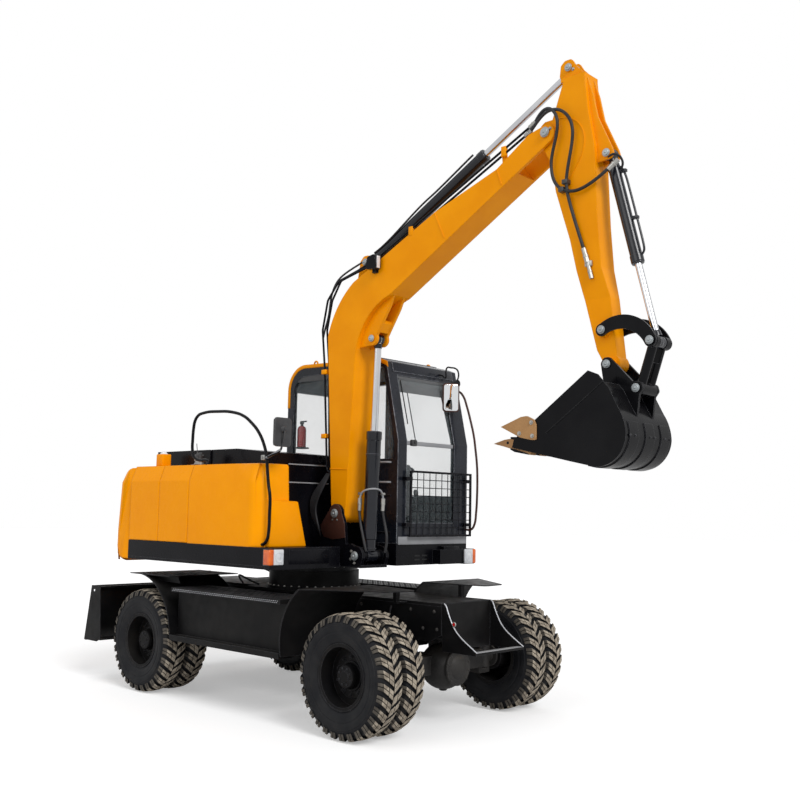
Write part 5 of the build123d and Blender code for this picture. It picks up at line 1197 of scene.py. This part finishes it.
bm = bmesh.new()
lathe(bm, on_lift(150), LIFT_AXIS, ((-6, 60), (0, 66), (880, 66), (886, 60)), 48)
lathe(bm, on_lift(1036), LIFT_AXIS, ((0, 60), (2, 71), (74, 71), (80, 66), (84, 46), (84, 34)), 48)
for low, high in ((60, 74), (900, 914)):
    lathe(bm, on_lift(low), LIFT_AXIS, ((0, 59), (2, 69), (high - low - 2, 69), (high - low, 59)), 40)
keep(bm, "lift_collars", "lift_barrel", CYLINDER_BLACK)
for body, tip, base in (("lift_rod", LIFT_EYE, LIFT_BASE), ("curl_rod", KNEE, CURL_BASE)):
    eye, back = line_of(tip, base)
    bm = bmesh.new()                                      # black eye at the rod's end
    for hand in (-1, 1):
        lathe(bm, eye + Vector((0, hand * 37, 0)), (0, hand, 0), ((-34, 46), (-2, 46), (1, 43), (1, 27)), 40)
    lathe(bm, eye + back * 40, back, ((0, 40), (34, 36), (44, 34), (44, 28)), 36)
    keep(bm, body + "_eye", body, CYLINDER_BLACK)
hose("lift_cross_pipe", (on_lift(512, -66, -78), on_lift(560, -60, -80), on_lift(590, 10, -82), on_lift(598, 66, -40),
                         on_lift(594, 78, 20), on_lift(570, 76, 62), on_lift(512, 76, 74)), 9, "lift_barrel",
     PALE_STEEL)
bm = bmesh.new()
for dx, dy in ((-66, -78), (76, 74)):
    ferrule(bm, on_lift(400, dx, dy), on_lift(512, dx, dy), 13)
    round_bar(bm, on_lift(552, dx, dy * 0.7), on_lift(552, dx, dy * 1.2), 13, sides=12)
keep(bm, "lift_fittings", "lift_barrel", ZINC)
hose("lift_hose_right", (on_lift(404, -66, -78), on_lift(320, -52, -84), on_lift(220, -8, -92), on_lift(120, 26, -92),
                         on_lift(40, 44, -84)), 13, "lift_barrel")
hose("lift_hose_left", (on_lift(404, 76, 74), on_lift(320, 92, 78), on_lift(220, 128, 84), on_lift(120, 146, 80),
                        on_lift(30, 130, 70)), 13, "lift_barrel")
for name, base, tip, r, head in (("crowd", CROWD_BASE, CROWD_EYE, 52, 1526), ("curl", CURL_BASE, KNEE, 46, 908)):
    foot, aim = line_of(base, tip)
    build(name + "_collars", name + "_barrel", CYLINDER_BLACK,
          (lathe, foot + aim * (head - 66), aim,
           ((0, r + 1), (2, r + 4), (56, r + 4), (62, r), (68, r - 10), (68, r - 18)), 36),
          (lathe, foot + aim * 110, aim, ((0, r), (2, r + 3), (18, r + 3), (20, r)), 36))
hose("curl_line", (on_curl(130, 50), on_curl(160, 78), on_curl(300, 80), on_curl(600, 80), on_curl(800, 80),
                   on_curl(836, 74), on_curl(850, 50)), 9, "curl_barrel", CYLINDER_BLACK)
bm = bmesh.new()
for distance in (170, 560):
    x, _, z = on_curl(distance, 60)
    soft_block(bm, (x - 26, x + 34), (-136, -104), (z - 12, z + 12), 3)
keep(bm, "curl_line_clamps", "curl_barrel", CYLINDER_BLACK)
hose("curl_base_hose", (on_curl(40, 0, -50), on_curl(30, 40, -66), on_curl(50, 84, -60), on_curl(90, 96, -30),
                        on_curl(130, 84, -6), on_curl(150, 50, 0)), 9, "curl_barrel")

# Supply hoses from the upper frame to the boom's foot and pipes
for k in range(6):
    name = "foot_hose_%d" % k
    piece = keep_mesh(hose_mesh(name, (
        (380 + 8 * k, -212, 2080), (330 + 8 * k, -236 - 4 * k, 2000 - 10 * k), (225 + 12 * k, -262, 1880 - 12 * k),
        (212 + 14 * k, -264, 1760 - 10 * k), (270 + 12 * k, -256, 1620 - 8 * k), (360, -236, 1520 - 14 * k),
        (430, -212, 1400 - 20 * k)), 11), name, None, HOSE, 40)
    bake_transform(piece)

# Bucket: bolts of the side cutters, adapters of the teeth and bolts along the heel
bm = bmesh.new()
for hand in (-1, 1):
    for x, z in ((2876, 2420), (2766, 2342), (2885, 2319)):
        bolt(bm, (x, BOOM_Y + hand * 339, z), (0, hand, 0), 11)
keep(bm, "cutter_bolts", "bucket", ZINC)
STRAPS = (((2662, 2322), (2760, 2318), (2830, 2280), (2830, 2268), (2700, 2300), (2664, 2306)),
          ((2662, 2238), (2750, 2214), (2830, 2190), (2830, 2182), (2700, 2206), (2660, 2226)))
bm = bmesh.new()                                          # top and bottom straps of the tooth adapters, with pins
for k in range(5):
    y = BOOM_Y - 275 + k * 137.5
    round_bar(bm, (2635, y - 33, 2278), (2635, y + 33, 2278), 11, sides=14)
    for outline in STRAPS:
        plate(bm, outline, (y - 35, y + 35), 2)
keep(bm, "tooth_adapters", "bucket", BUCKET_BLACK)
bm = bmesh.new()
for y in (-400, -330, -120, -60, 90, 160):
    bolt(bm, (3672, y, 2300), (1, 0, 0.05), 7)
    bolt(bm, (3560, y, 2135), (0.45, 0, -0.9), 7)
keep(bm, "heel_bolts", "bucket", BUCKET_BLACK)


# Floor, light and camera

def stage():
    """A pale floor that takes shadows, lightened for the camera alone, and an even white world."""
    material, tree, shader = new_material("floor")
    path = add(tree, "LightPath")
    output = tree.nodes["Material Output"]
    white = add(tree, "Emission")
    white.inputs["Color"].default_value = (1, 1, 1, 1)
    white.inputs["Strength"].default_value = 0.36
    both = add(tree, "AddShader")
    switch = add(tree, "MixShader")
    tone = mixed(tree, noise(tree, 0.4, 2.0), (0.80, 0.80, 0.805), (0.815, 0.815, 0.815))
    tree.links.new(tone, shader.inputs["Base Color"])
    shader.inputs["Roughness"].default_value = 0.9
    shader.inputs["Specular IOR Level"].default_value = 0.1
    tree.links.new(shader.outputs[0], both.inputs[0])
    tree.links.new(white.outputs[0], both.inputs[1])
    seen = times(tree, path.outputs["Is Camera Ray"], path.outputs["Is Transmission Ray"], "ADD")
    tree.links.new(seen, switch.inputs[0])
    tree.links.new(shader.outputs[0], switch.inputs[1])
    tree.links.new(both.outputs[0], switch.inputs[2])
    tree.links.new(switch.outputs[0], output.inputs["Surface"])
    bm = bmesh.new()
    bmesh.ops.create_grid(bm, x_segments=8, y_segments=8, size=60)
    mesh = bpy.data.meshes.new("floor")
    bm.to_mesh(mesh)
    bm.free()
    floor = bpy.data.objects.new("floor", mesh)
    bpy.context.scene.collection.objects.link(floor)
    mesh.materials.append(material)

    world = bpy.data.worlds.new("studio")
    bpy.context.scene.world = world
    world.use_nodes = True
    tree = world.node_tree
    background = tree.nodes["Background"]
    path = add(tree, "LightPath")
    seen = times(tree, times(tree, path.outputs["Is Camera Ray"], path.outputs["Is Transmission Ray"], "ADD"),
                 times(tree, path.outputs["Is Glossy Ray"], 0.55), "MAXIMUM")
    tree.links.new(remap(tree, seen, 0.0, 1.0, 0.52, 1.0), background.inputs["Strength"])
    background.inputs["Color"].default_value = (1, 1, 1, 1)


def sun(name, towards, strength, angle):
    light = bpy.data.lights.new(name, "SUN")
    light.energy = strength
    light.angle = radians(angle)
    holder = bpy.data.objects.new(name, light)
    bpy.context.scene.collection.objects.link(holder)
    holder.rotation_mode = "QUATERNION"
    holder.rotation_quaternion = Vector((0, 0, 1)).rotation_difference(Vector(towards))


def camera():
    """The photograph's view: where it stood, where it looked and its lens."""
    yaw, pitch, roll = 2.32757724, 0.11126197, 0.01778180
    x, y, z = 6.407, -6.473, 1.750
    ahead = Vector((cos(pitch) * cos(yaw), cos(pitch) * sin(yaw), sin(pitch)))
    right = ahead.cross(Vector((0, 0, 1))).normalized()
    up = right.cross(ahead)
    across = cos(roll) * right + sin(roll) * up
    upright = -sin(roll) * right + cos(roll) * up
    view = bpy.data.cameras.new("photo_view")
    view.lens = 44.5455
    view.sensor_width = 36
    view.clip_end = 200
    holder = bpy.data.objects.new("photo_view", view)
    holder.matrix_world = Matrix((
        (across.x, upright.x, -ahead.x, x), (across.y, upright.y, -ahead.y, y), (across.z, upright.z, -ahead.z, z),
        (0, 0, 0, 1)))
    bpy.context.scene.collection.objects.link(holder)
    bpy.context.scene.camera = holder


stage()
sun("key", (1.0, -0.28, 0.75), 1.9, 25)
sun("fill", (-0.1, -1.0, 0.55), 0.5, 40)
camera()
bpy.context.scene.view_settings.view_transform = "Standard"
